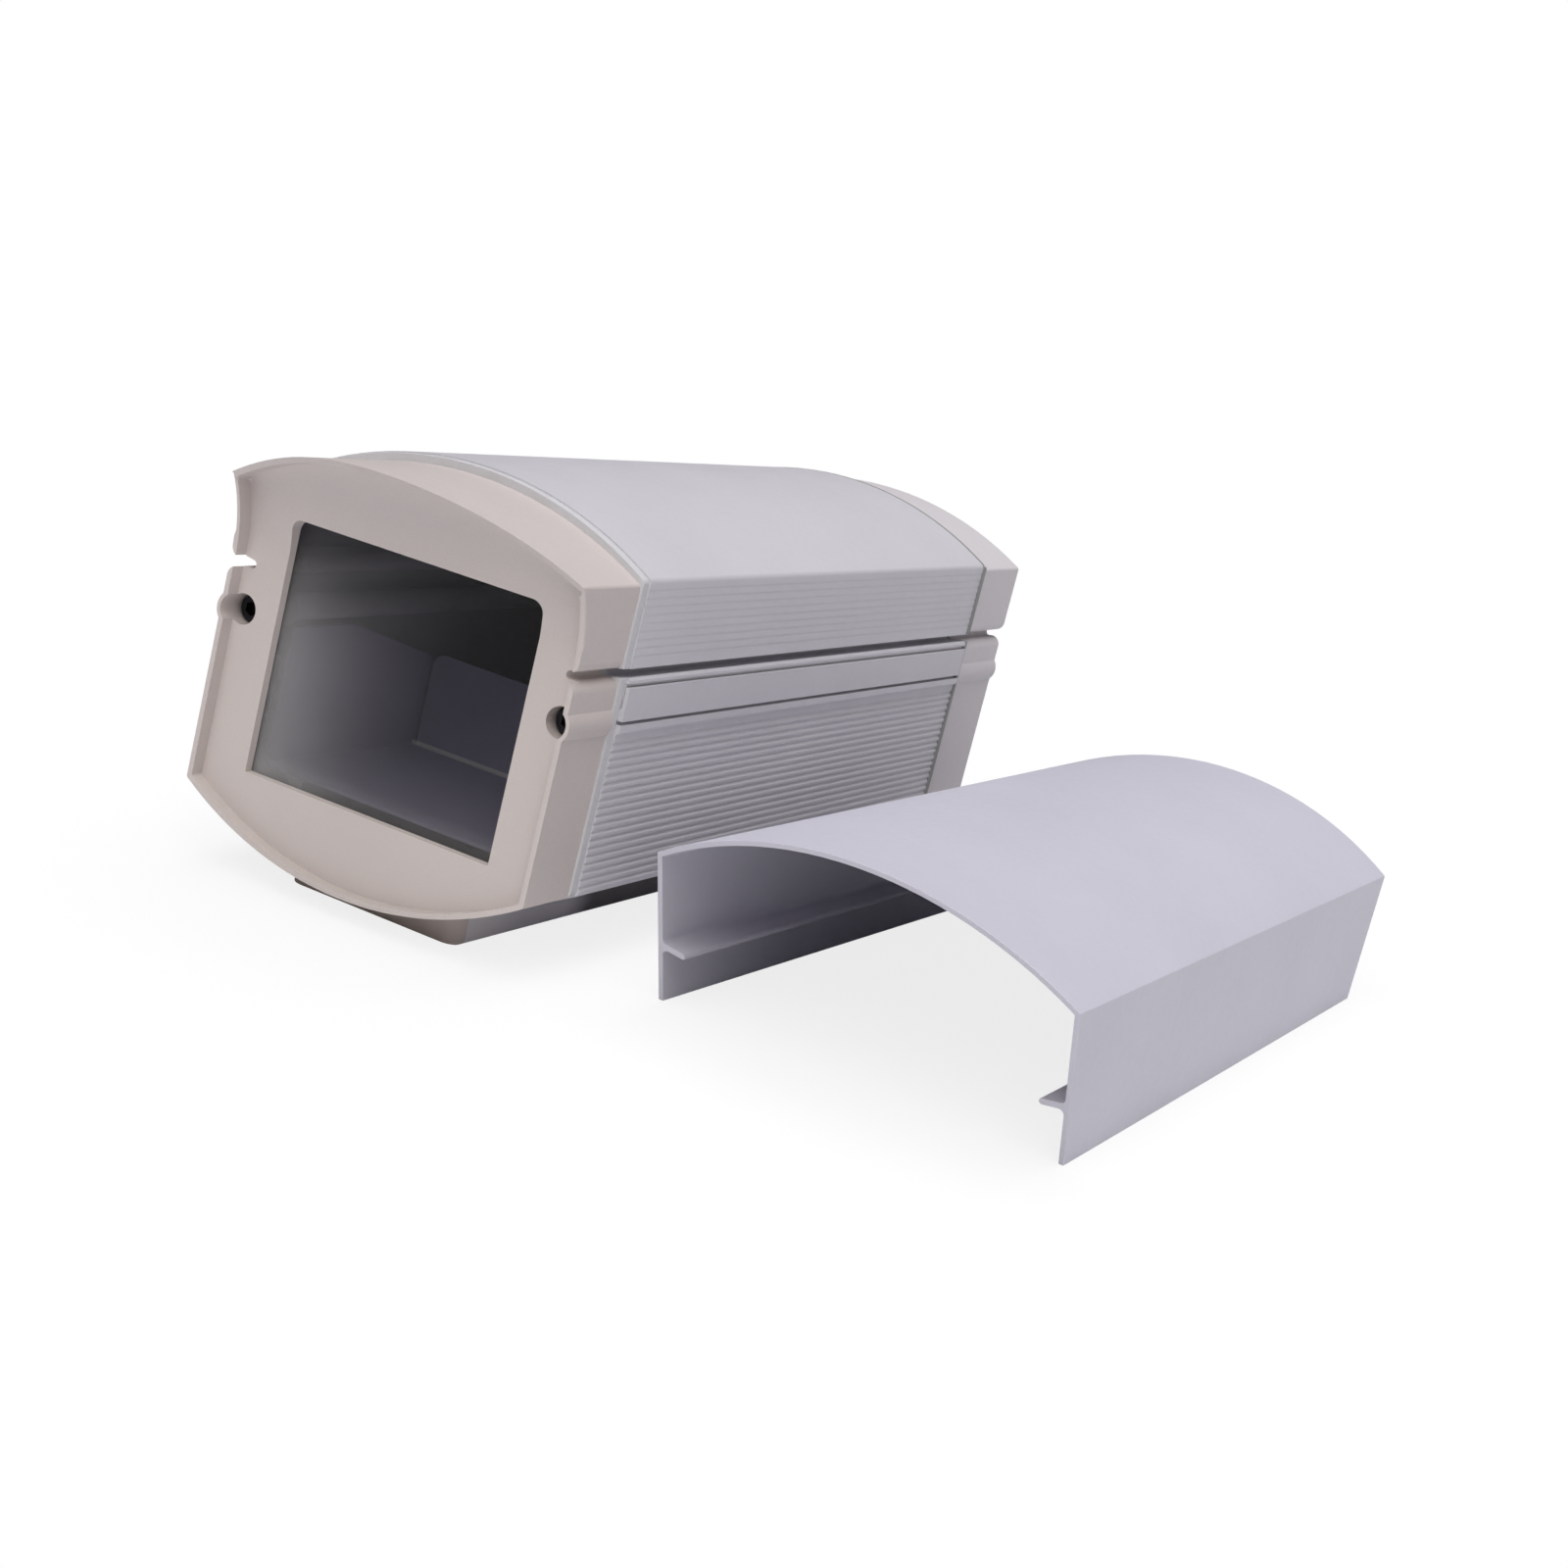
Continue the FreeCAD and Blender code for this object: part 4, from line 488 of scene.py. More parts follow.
def cross_recess(piece, top, axis, span, depth):
    """Cut a cross recess into a screw head from its top centre."""
    size = (span, hardware().recess_width, 2 * depth)
    for turn in (0, math.pi / 2):
        cut_slot(piece, top, size, ALONG_Z.rotation_difference(axis)
                 @ Matrix.Rotation(turn, 3, "Z").to_quaternion())


def finish_piece(piece, slot, node, body=HOUSING):
    """Give a piece its material, its body and the solid that it stands for."""
    piece.data.materials.clear()
    piece.data.materials.append(material_of(slot))
    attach(piece, body)
    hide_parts(node)


def finish_pair(piece, radius, slot, node, body=HOUSING):
    """Copy a piece of a radius from the left of its node's box to the right, and finish both."""
    low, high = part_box(node)
    finish_piece(copies(piece, [(high.x - low.x - 2 * radius, 0, 0)]), slot, node, body)


def soft_solid(node, name, width, slot, segments=2, body=HOUSING):
    """A copy of a solid with rounded edges, finished in its place."""
    piece = solid_copy(node, name)
    soften(piece, width, segments)
    finish_piece(piece, slot, node, body)


# Finishes

class NodeTree:
    """A tree of shader nodes under construction."""

    def __init__(self, tree):
        self.tree = tree

    def add(self, kind, inputs=None, **settings):
        node = self.tree.nodes.new(kind)
        for name, value in settings.items():
            setattr(node, name, value)
        for socket, value in (inputs or {}).items():
            self.feed(node, socket, value)
        return node

    def feed(self, node, socket, value):
        if isinstance(value, bpy.types.NodeSocket):
            self.tree.links.new(value, node.inputs[socket])
        else:
            node.inputs[socket].default_value = value

    def math(self, operation, *values):
        """The result of one sum on numbers or sockets."""
        return self.add("ShaderNodeMath", dict(enumerate(values)), operation=operation).outputs["Value"]

    def times(self, first, second):
        return self.math("MULTIPLY", first, second)

    def mix(self, share, first, second):
        """A shader that gives way to another as the share grows."""
        return self.add("ShaderNodeMixShader", {0: share, 1: first, 2: second}).outputs["Shader"]

    def seen_share(self):
        """One where the camera looks, and nought where light is gathered."""
        return self.add("ShaderNodeLightPath").outputs["Is Camera Ray"]


class Recipe(NodeTree):
    """A material under construction around one Principled shader."""

    noise_middle = {"From Min": 0.3, "From Max": 0.7}

    def __init__(self, name):
        self.material = bpy.data.materials.new(name)
        self.material.use_nodes = True
        super().__init__(self.material.node_tree)
        self.shader = self.tree.nodes["Principled BSDF"]
        self.output = self.tree.nodes["Material Output"]
        self.place = self.add("ShaderNodeTexCoord").outputs["Object"]

    def set(self, **inputs):
        for socket, value in inputs.items():
            self.feed(self.shader, socket.replace("_", " "), value)

    def noise(self, scale, detail=2.0, roughness=0.5):
        return self.add("ShaderNodeTexNoise", {"Vector": self.place, "Scale": scale, "Detail": detail,
                                               "Roughness": roughness}).outputs["Fac"]

    def spread(self, value, low, high):
        """Map the middle of a noise to a range."""
        inputs = {"Value": value, **self.noise_middle, "To Min": low, "To Max": high}
        return self.add("ShaderNodeMapRange", inputs).outputs["Result"]

    def about(self, value, middle, below, above):
        """Spread a noise over a range around a value."""
        return self.spread(value, middle - below, middle + above)

    def bump(self, height, distance, strength=1.0, below=None):
        inputs = {"Height": height, "Distance": distance, "Strength": strength}
        if below is not None:
            inputs["Normal"] = below
        return self.add("ShaderNodeBump", inputs).outputs["Normal"]

    def toned(self, base, value):
        """The base colour with its brightness multiplied by a value that varies."""
        return self.add("ShaderNodeHueSaturation", {"Color": base, "Value": value}).outputs["Color"]

    def axis(self, name):
        return self.add("ShaderNodeSeparateXYZ", {"Vector": self.place}).outputs[name]

    def ramp(self, value, start, end, smooth=False):
        """Nought up to the start and one from the end on."""
        return self.add("ShaderNodeMapRange", {"Value": value, "From Min": start, "From Max": end},
                        interpolation_type="SMOOTHSTEP" if smooth else "LINEAR").outputs["Result"]

    def blend(self, first, second, share):
        """One colour that gives way to another."""
        mix = self.add("ShaderNodeMix", {"Factor": share}, data_type="RGBA")
        near, far = (socket for socket in mix.inputs if socket.type == "RGBA")
        near.default_value = first
        far.default_value = second
        return next(socket for socket in mix.outputs if socket.type == "RGBA")


def opaque(tint):
    return (*tint, 1.0)


def to_the_rear(recipe):
    """A share that grows from the front of the housing to its rear."""
    reach = 150.0 * MM
    return recipe.ramp(recipe.axis("Y"), -reach, reach, True)


def out_of_painted_shade_at_tips(recipe):
    """A share that grows from the middle of the foot to both its ends, where the rail's painted shade gives
    way to its lighter coat.
    """
    start, end = 75.0 * MM, 100.0 * MM
    return recipe.ramp(recipe.math("ABSOLUTE", recipe.axis("Y")), start, end, True)


def painted_highlight_at_wall_foot(recipe):
    """A painted highlight's share: one along the foot of the tray's cross wall, and nought elsewhere."""
    width = 1.5 * MM
    front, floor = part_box("tray_partition")[0][1:]
    return recipe.times(recipe.math("COMPARE", recipe.axis("Y"), front, width),
                        recipe.math("COMPARE", recipe.axis("Z"), floor, width))


def powder_coat(name, base, roughness, peel, specks, other=None, share=None):
    """Sprayed and baked paint: fine orange peel, tiny specks and a slow drift of tone.

    The coat gives way to another colour where a share function says so; for the foot that paints shade, and
    for the tray a highlight.
    """
    recipe = Recipe(name)
    base = opaque(base)
    if other is not None:
        base = recipe.blend(base, opaque(getattr(colours(), other)), share(recipe))
    grain = recipe.noise(scale=1900.0, detail=1.0)
    drift = recipe.noise(scale=14.0, detail=3.0)
    tone = recipe.times(recipe.about(grain, 1, specks, specks), recipe.spread(drift, low=0.975, high=1.02))
    skin = recipe.bump(recipe.noise(scale=620.0), distance=0.06 * MM, strength=peel)
    skin = recipe.bump(grain, distance=0.02 * MM, strength=peel, below=skin)
    sheen = recipe.about(recipe.noise(scale=240.0), roughness, below=0.05, above=0.06)
    recipe.set(Base_Color=recipe.toned(base, tone), Normal=skin, Roughness=sheen)
    return recipe.material


def rubber(name, base, roughness, dust):
    """Moulded rubber with a matte skin and a little dust in its tone."""
    recipe = Recipe(name)
    cloud = recipe.noise(scale=90.0, detail=4.0, roughness=0.6)
    fine = recipe.noise(scale=2600.0, detail=1.0)
    tone = recipe.times(recipe.about(cloud, 1, dust, dust), recipe.about(fine, 1, below=0.04, above=0.04))
    recipe.set(Base_Color=recipe.toned(opaque(base), tone), Specular_IOR_Level=0.3,
               Normal=recipe.bump(fine, distance=0.03 * MM, strength=0.5),
               Roughness=recipe.about(cloud, roughness, below=0.06, above=0.06))
    return recipe.material


def moulded_plastic(name, base, roughness):
    """Spark-eroded plastic grain."""
    recipe = Recipe(name)
    grain = recipe.add("ShaderNodeTexVoronoi", {"Vector": recipe.place, "Scale": 1500.0}).outputs["Distance"]
    cloud = recipe.noise(scale=60.0, detail=3.0)
    recipe.set(Base_Color=recipe.toned(opaque(base), recipe.about(cloud, 1, below=0.06, above=0.05)),
               Normal=recipe.bump(grain, distance=0.03 * MM, strength=0.45),
               Roughness=recipe.about(cloud, roughness, below=0.05, above=0.07))
    return recipe.material


def plated_metal(name, base, roughness, tone):
    """Plated steel with faint clouds in its gloss and fine drawn lines."""
    recipe = Recipe(name)
    cloud = recipe.noise(scale=350.0, detail=4.0, roughness=0.6)
    lines = recipe.noise(scale=4200.0, detail=1.0)
    recipe.set(Base_Color=recipe.toned(opaque(base), recipe.about(cloud, 1, tone, tone)), Metallic=1.0,
               Normal=recipe.bump(lines, distance=0.01 * MM, strength=0.4),
               Roughness=recipe.about(cloud, roughness, below=0.08, above=0.1))
    return recipe.material


def window_pane(name, tint, coat_index, left_sharpness, left_painted_light, bottom_painted_light):
    """Clear coated glass with a thin reflection, and painted light: a lit film on the pane that thickens to
    the left and the bottom, standing in for light on the housing's interior behind it.
    """
    recipe = Recipe(name)
    haze = recipe.noise(scale=30.0, detail=4.0, roughness=0.6)
    gloss = recipe.add("ShaderNodeBsdfGlossy", {"Color": WHITE, "Roughness": recipe.spread(haze, 0.01, 0.05)})
    # The dark tint is partly painted shade of the housing's interior seen through the pane
    clear = recipe.add("ShaderNodeBsdfTransparent", {"Color": opaque(tint)})
    # Painted light: a lit sheet in the colour named dust, laid over the pane to the left and at the bottom
    matte = recipe.add("ShaderNodeBsdfDiffuse", {"Color": opaque(colours().dust)})
    mirrored = recipe.add("ShaderNodeFresnel", {"IOR": coat_index}).outputs["Fac"]
    pane = recipe.mix(mirrored, clear.outputs["BSDF"], gloss.outputs["BSDF"])
    left = recipe.math("POWER", recipe.ramp(recipe.axis("X"), *PAINTED_LIGHT_LEFT), left_sharpness)
    left = recipe.times(left, recipe.ramp(recipe.axis("Z"), *PAINTED_LIGHT_DOWN, smooth=True))
    bottom = recipe.ramp(recipe.axis("Z"), *PAINTED_LIGHT_BOTTOM, smooth=True)
    both = recipe.math("ADD", recipe.times(left, left_painted_light), recipe.times(bottom, bottom_painted_light))
    film = recipe.times(both, recipe.about(haze, 1, below=0.1, above=0.1))
    pane_with_painted_light = recipe.mix(film, pane, matte.outputs["BSDF"])
    recipe.tree.nodes.remove(recipe.shader)
    recipe.tree.links.new(pane_with_painted_light, recipe.output.inputs["Surface"])
    return recipe.material


# How each slot's finish is made, which colour it has, and its settings
FINISHES = {
    "cap_paint": (powder_coat, "front_cap", dict(roughness=0.56, peel=0.5, specks=0.03, other="rear_cap",
                                                 share=to_the_rear)),
    "shell_paint": (powder_coat, "shell", dict(roughness=0.5, peel=0.35, specks=0.02)),
    "shield_paint": (powder_coat, "shield", dict(roughness=0.52, peel=0.35, specks=0.02)),
    # Foot rail: its dark middle is partly painted shade, and it is lighter towards the ends
    "foot_paint": (powder_coat, "foot", dict(roughness=0.6, peel=0.5, specks=0.03, other="foot_tip",
                                             share=out_of_painted_shade_at_tips)),
    # Tray: a painted highlight along the foot of the cross wall
    "tray_paint": (powder_coat, "tray", dict(roughness=0.42, peel=0.25, specks=0.015, other="tray_fold",
                                             share=painted_highlight_at_wall_foot)),
    "foot_plastic": (moulded_plastic, "foot_end", dict(roughness=0.6)),
    "gland_plastic": (moulded_plastic, "plastic", dict(roughness=0.45)),
    "grey_rubber": (rubber, "seal", dict(roughness=0.7, dust=0.04)),
    # Rear seal: dark rubber that partly stands in for painted shade in its joint
    "dark_rubber": (rubber, "dark_seal", dict(roughness=0.72, dust=0.06)),
    "black_rubber": (rubber, "black_rubber", dict(roughness=0.75, dust=0.1)),
    "black_steel": (plated_metal, "black_steel", dict(roughness=0.42, tone=0.12)),
    "zinc_steel": (plated_metal, "zinc", dict(roughness=0.34, tone=0.06)),
    # Window: a lit film on the pane as painted light, and a dark tint that is partly painted shade
    "window_glass": (window_pane, "glass", dict(coat_index=1.18, left_sharpness=4.0, left_painted_light=0.27,
                                                bottom_painted_light=0.11)),
}


def material_of(slot):
    """The finish of a material slot, made when it is first asked for."""
    name = "finish_" + slot
    if name not in bpy.data.materials:
        make, tint, settings = FINISHES[slot]
        make(name, getattr(colours(), tint), **settings)
    return bpy.data.materials[name]


# Pieces

class HOUSING_OT_castings(bpy.types.Operator):
    """Round the edges of the front and rear castings and paint them"""

    bl_idname = "housing.castings"
    bl_label = "End castings"

    def execute(self, context):
        width = edges().casting
        front = solid_copy("front_cap", "front_cap_casting")
        round_rim(front, edges().rim, NOTCH_TOP)
        soften(front, width, 3)
        finish_piece(front, "cap_paint", "front_cap")
        soft_solid("rear_cap", "rear_cap_casting", width, "cap_paint", 3)
        return {"FINISHED"}


class HOUSING_OT_shells(bpy.types.Operator):
    """Break the edges of the two fluted shells and paint them"""

    bl_idname = "housing.shells"
    bl_label = "Shells"

    def execute(self, context):
        soft = edges()
        soft_solid("lower_shell", "lower_shell_extrusion", soft.extrusion, "shell_paint")
        upper = solid_copy("upper_shell", "upper_shell_extrusion")
        low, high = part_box("upper_shell")
        top = BAND_TOP - soft.line_drop
        bottom = top - soft.line_height
        for depth, end in ((soft.strip_depth, BAND_TOP + soft.strip_depth), (soft.line_depth, top)):
            for side in (-1, 1):
                centre = (side * high.x, 0, (bottom + end) / 2)
                cut_slot(upper, centre, (2 * depth, 2 * (high.y - low.y), end - bottom))
        soften(upper, soft.extrusion)
        finish_piece(upper, "shell_paint", "upper_shell")
        return {"FINISHED"}


class HOUSING_OT_seals(bpy.types.Operator):
    """Round the edges of the ring seals and the seam strips"""

    bl_idname = "housing.seals"
    bl_label = "Seals"

    def execute(self, context):
        width = edges().rubber
        soft_solid("front_seal", "front_seal_ring", width, "grey_rubber", 3)
        rear = solid_copy("rear_seal", "rear_seal_ring")
        # The rear seal is pushed out into its joint so that its dark rubber shows as a dark line: partly the
        # seal's own colour, partly painted shade of the joint
        push_outside(rear, edges().seal_fill)
        push_outside(rear, edges().seal_bulge, 0.9)
        soften(rear, width, 3)
        finish_piece(rear, "dark_rubber", "rear_seal")
        soft_solid("seam_seals", "seam_seal_strips", width, "grey_rubber", 3)
        return {"FINISHED"}


def small_screw(name, top, axis, head_radius, head_height, shank_radius, overall):
    """Raised-head screw with a cross recess. The axis points from the head's top to the tip."""
    neck, recess_span, recess_depth = 0.2 * MM, 1.15, 0.55
    profile = [(down * head_height, out * head_radius) for down, out in RAISED_HEAD]
    profile += [(head_height, shank_radius)] + threaded_end(head_height + neck, overall, shank_radius)
    piece = turned(name, profile, top, axis)
    cross_recess(piece, top, axis, recess_span * head_radius, recess_depth * head_height)
    shade(piece)
    return piece


class HOUSING_OT_window(bpy.types.Operator):
    """Make the glass pane, its gasket, the two strips that hold it and the strips' six screws"""

    bl_idname = "housing.window"
    bl_label = "Window"

    def execute(self, context):
        soft = edges()
        soft_solid("window_glass", "window_pane", soft.glass, "window_glass")
        soft_solid("glass_gasket", "window_gasket", soft.sheet, "grey_rubber")
        soft_solid("retainer_strips", "window_retainer_strips", soft.sheet, "shell_paint")
        low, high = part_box("retainer_screws")
        head_radius, shank_radius, head_height = 2.8 * MM, 1.5 * MM, 2.0 * MM
        top = Vector((low.x + head_radius, high.y, low.z + head_radius))
        across = (high.x - low.x) / 2 - head_radius
        up = high.z - low.z - 2 * head_radius
        screw = small_screw("retainer_screws_cross", top, -ALONG_Y, head_radius, head_height, shank_radius,
                            high.y - low.y)
        offsets = [(across * step, 0, up * row) for row in (0, 1) for step in (0, 1, 2)][1:]
        finish_piece(copies(screw, offsets), "zinc_steel", "retainer_screws")
        return {"FINISHED"}


class HOUSING_OT_cap_screws(bpy.types.Operator):
    """Make the four socket screws of the end castings, with sockets, grips and threads"""

    bl_idname = "housing.cap_screws"
    bl_label = "Cap screws"

    def socket_screw(self, node, name, forward):
        sizes = hardware()
        low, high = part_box(node)
        radius = (high.z - low.z) / 2
        head_height, shank_radius, chamfer = 6.0 * MM, 3.0 * MM, sizes.chamfer
        thread_start = 2 * head_height
        axis = ALONG_Y if forward else -ALONG_Y
        top = Vector((low.x + radius, low.y if forward else high.y, (low.z + high.z) / 2))
        profile = [(0, 0), (0, radius - chamfer), (chamfer, radius), (head_height, radius)]
        profile += [(head_height, shank_radius), (thread_start, shank_radius)]
        profile += threaded_end(thread_start, high.y - low.y, shank_radius, pitch=MM, point=MM, blunt=0.7)
        screw = turned(name, profile, top, axis)
        knurl(screw, top, axis, chamfer, head_height, sizes.knurl_depth)
        socket = hexagon("socket", sizes.socket_radius, -PAST, sizes.socket_depth, top, axis)
        combine(screw, socket, "DIFFERENCE")
        shade(screw)
        finish_pair(screw, radius, "black_steel", node)

    def execute(self, context):
        self.socket_screw("front_cap_screws", "front_cap_screws_socket", True)
        self.socket_screw("rear_cap_screws", "rear_cap_screws_socket", False)
        return {"FINISHED"}


class HOUSING_OT_glands(bpy.types.Operator):
    """Make the two cable glands: threaded bodies, dome nuts, ribbed inserts, gaskets and lock nuts"""

    bl_idname = "housing.glands"
    bl_label = "Cable glands"

    half_spacing = 30.0 * MM
    tail, barrel, bore, cable = 8.0 * MM, 9.0 * MM, 6.5 * MM, 4.0 * MM
    nut_radius, lock_nut_radius = 12.0 * MM, 12.5 * MM
    loose = 0.05 * MM
    # The profile of the dome's end: back from it, and out from the tip's radius
    dome_end = ((1.6 * MM, 1.3 * MM), (0.5 * MM, 0.2 * MM), (0.0, -1.0 * MM))

    def reach(self, node):
        """Where one of the gland's solids begins and ends, from the gland's inner end."""
        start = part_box("gland_bodies")[0].y
        return [point.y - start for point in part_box(node)]

    def blank(self, name, radius, low, high, centre):
        corner = 0.6 * (radius - flat_radius(radius))
        return nut_blank(name, radius, low, high, corner, centre, ALONG_Y)

    def pair(self, piece, slot, node):
        """Shade a piece of the left gland and finish it together with a copy for the right one."""
        shade(piece)
        finish_piece(copies(piece, [(2 * self.half_spacing, 0, 0)]), slot, node)

    def body(self, centre, overall, collar_radius):
        pitch, depth = hardware().gland_thread_pitch, hardware().gland_thread_depth
        collar_low = self.reach("gland_gaskets")[1]
        collar_high = collar_low + 5.0 * MM
        neck, lead_in = 0.5 * MM, 1.2 * MM
        profile = [(0, 0), (0, self.tail - depth)] + ridges(0, collar_low - neck, self.tail, depth, pitch)
        profile += [(collar_low, self.tail), (collar_low, self.barrel), (collar_high, self.barrel)]
        profile += ridges(collar_high, overall - lead_in, self.barrel, depth, pitch)
        profile += [(overall, self.barrel - depth), (overall, 0)]
        body = turned("gland_bodies_threaded", profile, centre, ALONG_Y)
        combine(body, self.blank("collar", collar_radius, collar_low, collar_high, centre), "UNION")
        drill(body, self.bore, 0, overall, centre, ALONG_Y)
        self.pair(body, "gland_plastic", "gland_bodies")

    def dome_nut(self, centre, overall):
        low, high = self.reach("gland_nuts")
        half = (low + high) / 2
        tip, mouth, countersink = 7.5 * MM, 5.0 * MM, 1.0 * MM
        step, shoulder = 0.6 * MM, flat_radius(self.nut_radius)
        waist_place, waist_share = 0.45, 0.93
        nut = self.blank("gland_nuts_domed", self.nut_radius, low, half, centre)
        dome = [(half - MM, 0), (half - MM, shoulder - step), (half, shoulder - step)]
        dome += [(half + waist_place * (high - half), waist_share * shoulder - step)]
        dome += [(high - back, tip + out) for back, out in self.dome_end] + [(high, 0)]
        combine(nut, turned("dome", dome, centre, ALONG_Y), "UNION")
        thread, seat = self.barrel + self.loose, overall + self.loose
        inner = [(low - PAST, 0), (low - PAST, thread), (seat, thread), (seat, mouth)]
        inner += [(high - countersink, mouth), (high + PAST, mouth + countersink + PAST), (high + PAST, 0)]
        combine(nut, turned("inner", inner, centre, ALONG_Y), "DIFFERENCE")
        self.pair(nut, "gland_plastic", "gland_nuts")

    def insert(self, centre):
        low, high = self.reach("gland_inserts")
        lip_height, lip_pitch, round_off = 0.8 * MM, 2.0 * MM, 0.4 * MM
        skin, wall = self.bore - self.loose, self.cable + lip_height
        profile = [(low, wall), (low, skin - round_off), (low + round_off, skin)]
        profile += [(high - round_off, skin), (high, skin - round_off), (high, wall)]
        profile += reversed(ridges(low + MM, high - MM, wall, lip_height, lip_pitch))
        ring = turned("gland_inserts_lipped", profile + [(low, wall)], centre, ALONG_Y)
        self.pair(ring, "black_rubber", "gland_inserts")

    def gasket(self, centre):
        low, high = self.reach("gland_gaskets")
        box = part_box("gland_gaskets")
        rim, hole, round_off = (box[1].z - box[0].z) / 2, self.tail + self.loose, 0.35 * MM
        profile = [(low, hole), (low, rim - round_off), (low + round_off, rim), (high - round_off, rim)]
        profile += [(high, rim - round_off), (high, hole), (low, hole)]
        ring = turned("gland_gaskets_round", profile, centre, ALONG_Y)
        self.pair(ring, "black_rubber", "gland_gaskets")

    def lock_nut(self, centre):
        low, high = self.reach("gland_lock_nuts")
        nut = self.blank("gland_lock_nuts_chamfered", self.lock_nut_radius, low, high, centre)
        drill(nut, self.tail + self.loose, low, high, centre, ALONG_Y)
        self.pair(nut, "gland_plastic", "gland_lock_nuts")

    def execute(self, context):
        low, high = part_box("gland_bodies")
        centre = Vector((-self.half_spacing, low.y, (low.z + high.z) / 2))
        overall = high.y - low.y
        self.body(centre, overall, (high.z - low.z) / 2)
        self.dome_nut(centre, overall)
        self.insert(centre)
        self.gasket(centre)
        self.lock_nut(centre)
        return {"FINISHED"}


class HOUSING_OT_foot(bpy.types.Operator):
    """Make the foot rail, its moulded ends, its inserts and the screws and nuts that hold it"""

    bl_idname = "housing.foot"
    bl_label = "Foot"

    def inserts(self):
        depth = hardware().thread_depth
        low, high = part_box("foot_inserts")
        flange, barrel, bore, tall = 6.3 * MM, 4.5 * MM, 2.5 * MM, high.z - low.z
        flange_height, rounding, lead_in, chamfer, bare = MM, 0.2 * MM, 0.4 * MM, 0.6 * MM, 0.2 * MM
        centre = Vector((low.x + flange, low.y + flange, low.z))
        profile = [(0, bore + lead_in), (0, flange - rounding), (rounding, flange), (flange_height, flange)]
        profile += [(flange_height, barrel), (tall - chamfer, barrel), (tall, barrel - chamfer)]
        profile += [(tall, bore + lead_in)]
        profile += reversed(ridges(lead_in, tall - lead_in, bore + depth, depth, MM))
        insert = turned("foot_inserts_threaded", profile + [(0, bore + lead_in)], centre, ALONG_Z)
        knurl(insert, centre, ALONG_Z, flange_height + bare, tall - chamfer - bare, hardware().knurl_depth)
        shade(insert)
        wide, long = high.x - low.x - 2 * flange, high.y - low.y - 2 * flange
        offsets = [(wide, 0, 0), (0, long, 0), (wide, long, 0)]
        finish_piece(copies(insert, offsets), "zinc_steel", "foot_inserts")

    def screws(self):
        low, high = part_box("foot_screws")
        head, head_height, shank = (high.x - low.x) / 2, 3.0 * MM, 2.5 * MM
        top = Vector((0, low.y + head, high.z))
        run = high.y - low.y - 2 * head
        offsets = [(0, run * step / 3, 0) for step in (1, 2, 3)]
        screw = small_screw("foot_screws_cross", top, -ALONG_Z, head, head_height, shank, high.z - low.z)
        finish_piece(copies(screw, offsets), "zinc_steel", "foot_screws")

        low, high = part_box("foot_nuts")
        centre = Vector((0, top.y, low.z))
        radius, corner, hole, tall = 4.6 * MM, 0.35 * MM, 2.55 * MM, high.z - low.z
        nut = nut_blank("foot_nuts_chamfered", radius, 0, tall, corner, centre, ALONG_Z)
        drill(nut, hole, 0, tall, centre, ALONG_Z)
        shade(nut)
        finish_piece(copies(nut, offsets), "zinc_steel", "foot_nuts")

    def execute(self, context):
        soft = edges()
        soft_solid("foot_rail", "foot_rail_extrusion", soft.extrusion, "foot_paint")
        soft_solid("foot_end_caps", "foot_end_mouldings", soft.moulding, "foot_plastic", 3)
        self.inserts()
        self.screws()
        return {"FINISHED"}


class HOUSING_OT_tray(bpy.types.Operator):
    """Make the sliding camera tray, its partition, the rivets and the two thumb screws"""

    bl_idname = "housing.tray"
    bl_label = "Camera tray"

    # A rivet's domed head: shares of its height from the top, and of its radius
    dome = ((1.0, 1.0), (0.75, 1.0), (0.35, 0.8), (0.08, 0.45), (0.0, 0.0))
    dome_sharp = math.radians(45)

    def rivets(self):
        low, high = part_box("partition_rivets")
        radius, tall = (high.y - low.y) / 2, high.z - low.z
        stem, head = 1.6 * MM, 1.2 * MM
        centre = Vector((low.x + radius, low.y + radius, low.z))
        profile = [(0, 0), (0, stem), (tall - head, stem)]
        profile += [(tall - down * head, out * radius) for down, out in self.dome]
        rivet = turned("partition_rivets_domed", profile, centre, ALONG_Z)
        shade(rivet, self.dome_sharp)
        finish_pair(rivet, radius, "zinc_steel", "partition_rivets", TRAY)

    def thumb_screws(self):
        sizes = hardware()
        low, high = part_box("tray_lock_screws")
        radius, chamfer = (high.y - low.y) / 2, sizes.chamfer
        shank, head, dish, floor_share, edge_share = 2.0 * MM, 6.5 * MM, 0.3 * MM, 0.6, 0.66
        top = Vector((low.x + radius, low.y + radius, high.z))
        profile = [(dish, 0), (dish, floor_share * radius), (0, edge_share * radius), (0, radius - chamfer)]
        profile += [(chamfer, radius), (head - chamfer, radius), (head, radius - chamfer), (head, shank)]
        profile += threaded_end(head, high.z - low.z, shank)
        screw = turned("tray_thumb_screws", profile, top, -ALONG_Z)
        knurl(screw, top, -ALONG_Z, chamfer, head - chamfer, 2 * sizes.knurl_depth)
        shade(screw)
        finish_pair(screw, radius, "zinc_steel", "tray_lock_screws")

    def execute(self, context):
        sheet = edges().sheet
        soft_solid("camera_tray", "camera_tray_folded", sheet, "tray_paint", body=TRAY)
        soft_solid("tray_partition", "tray_partition_folded", sheet, "tray_paint", body=TRAY)
        self.rivets()
        self.thumb_screws()
        return {"FINISHED"}


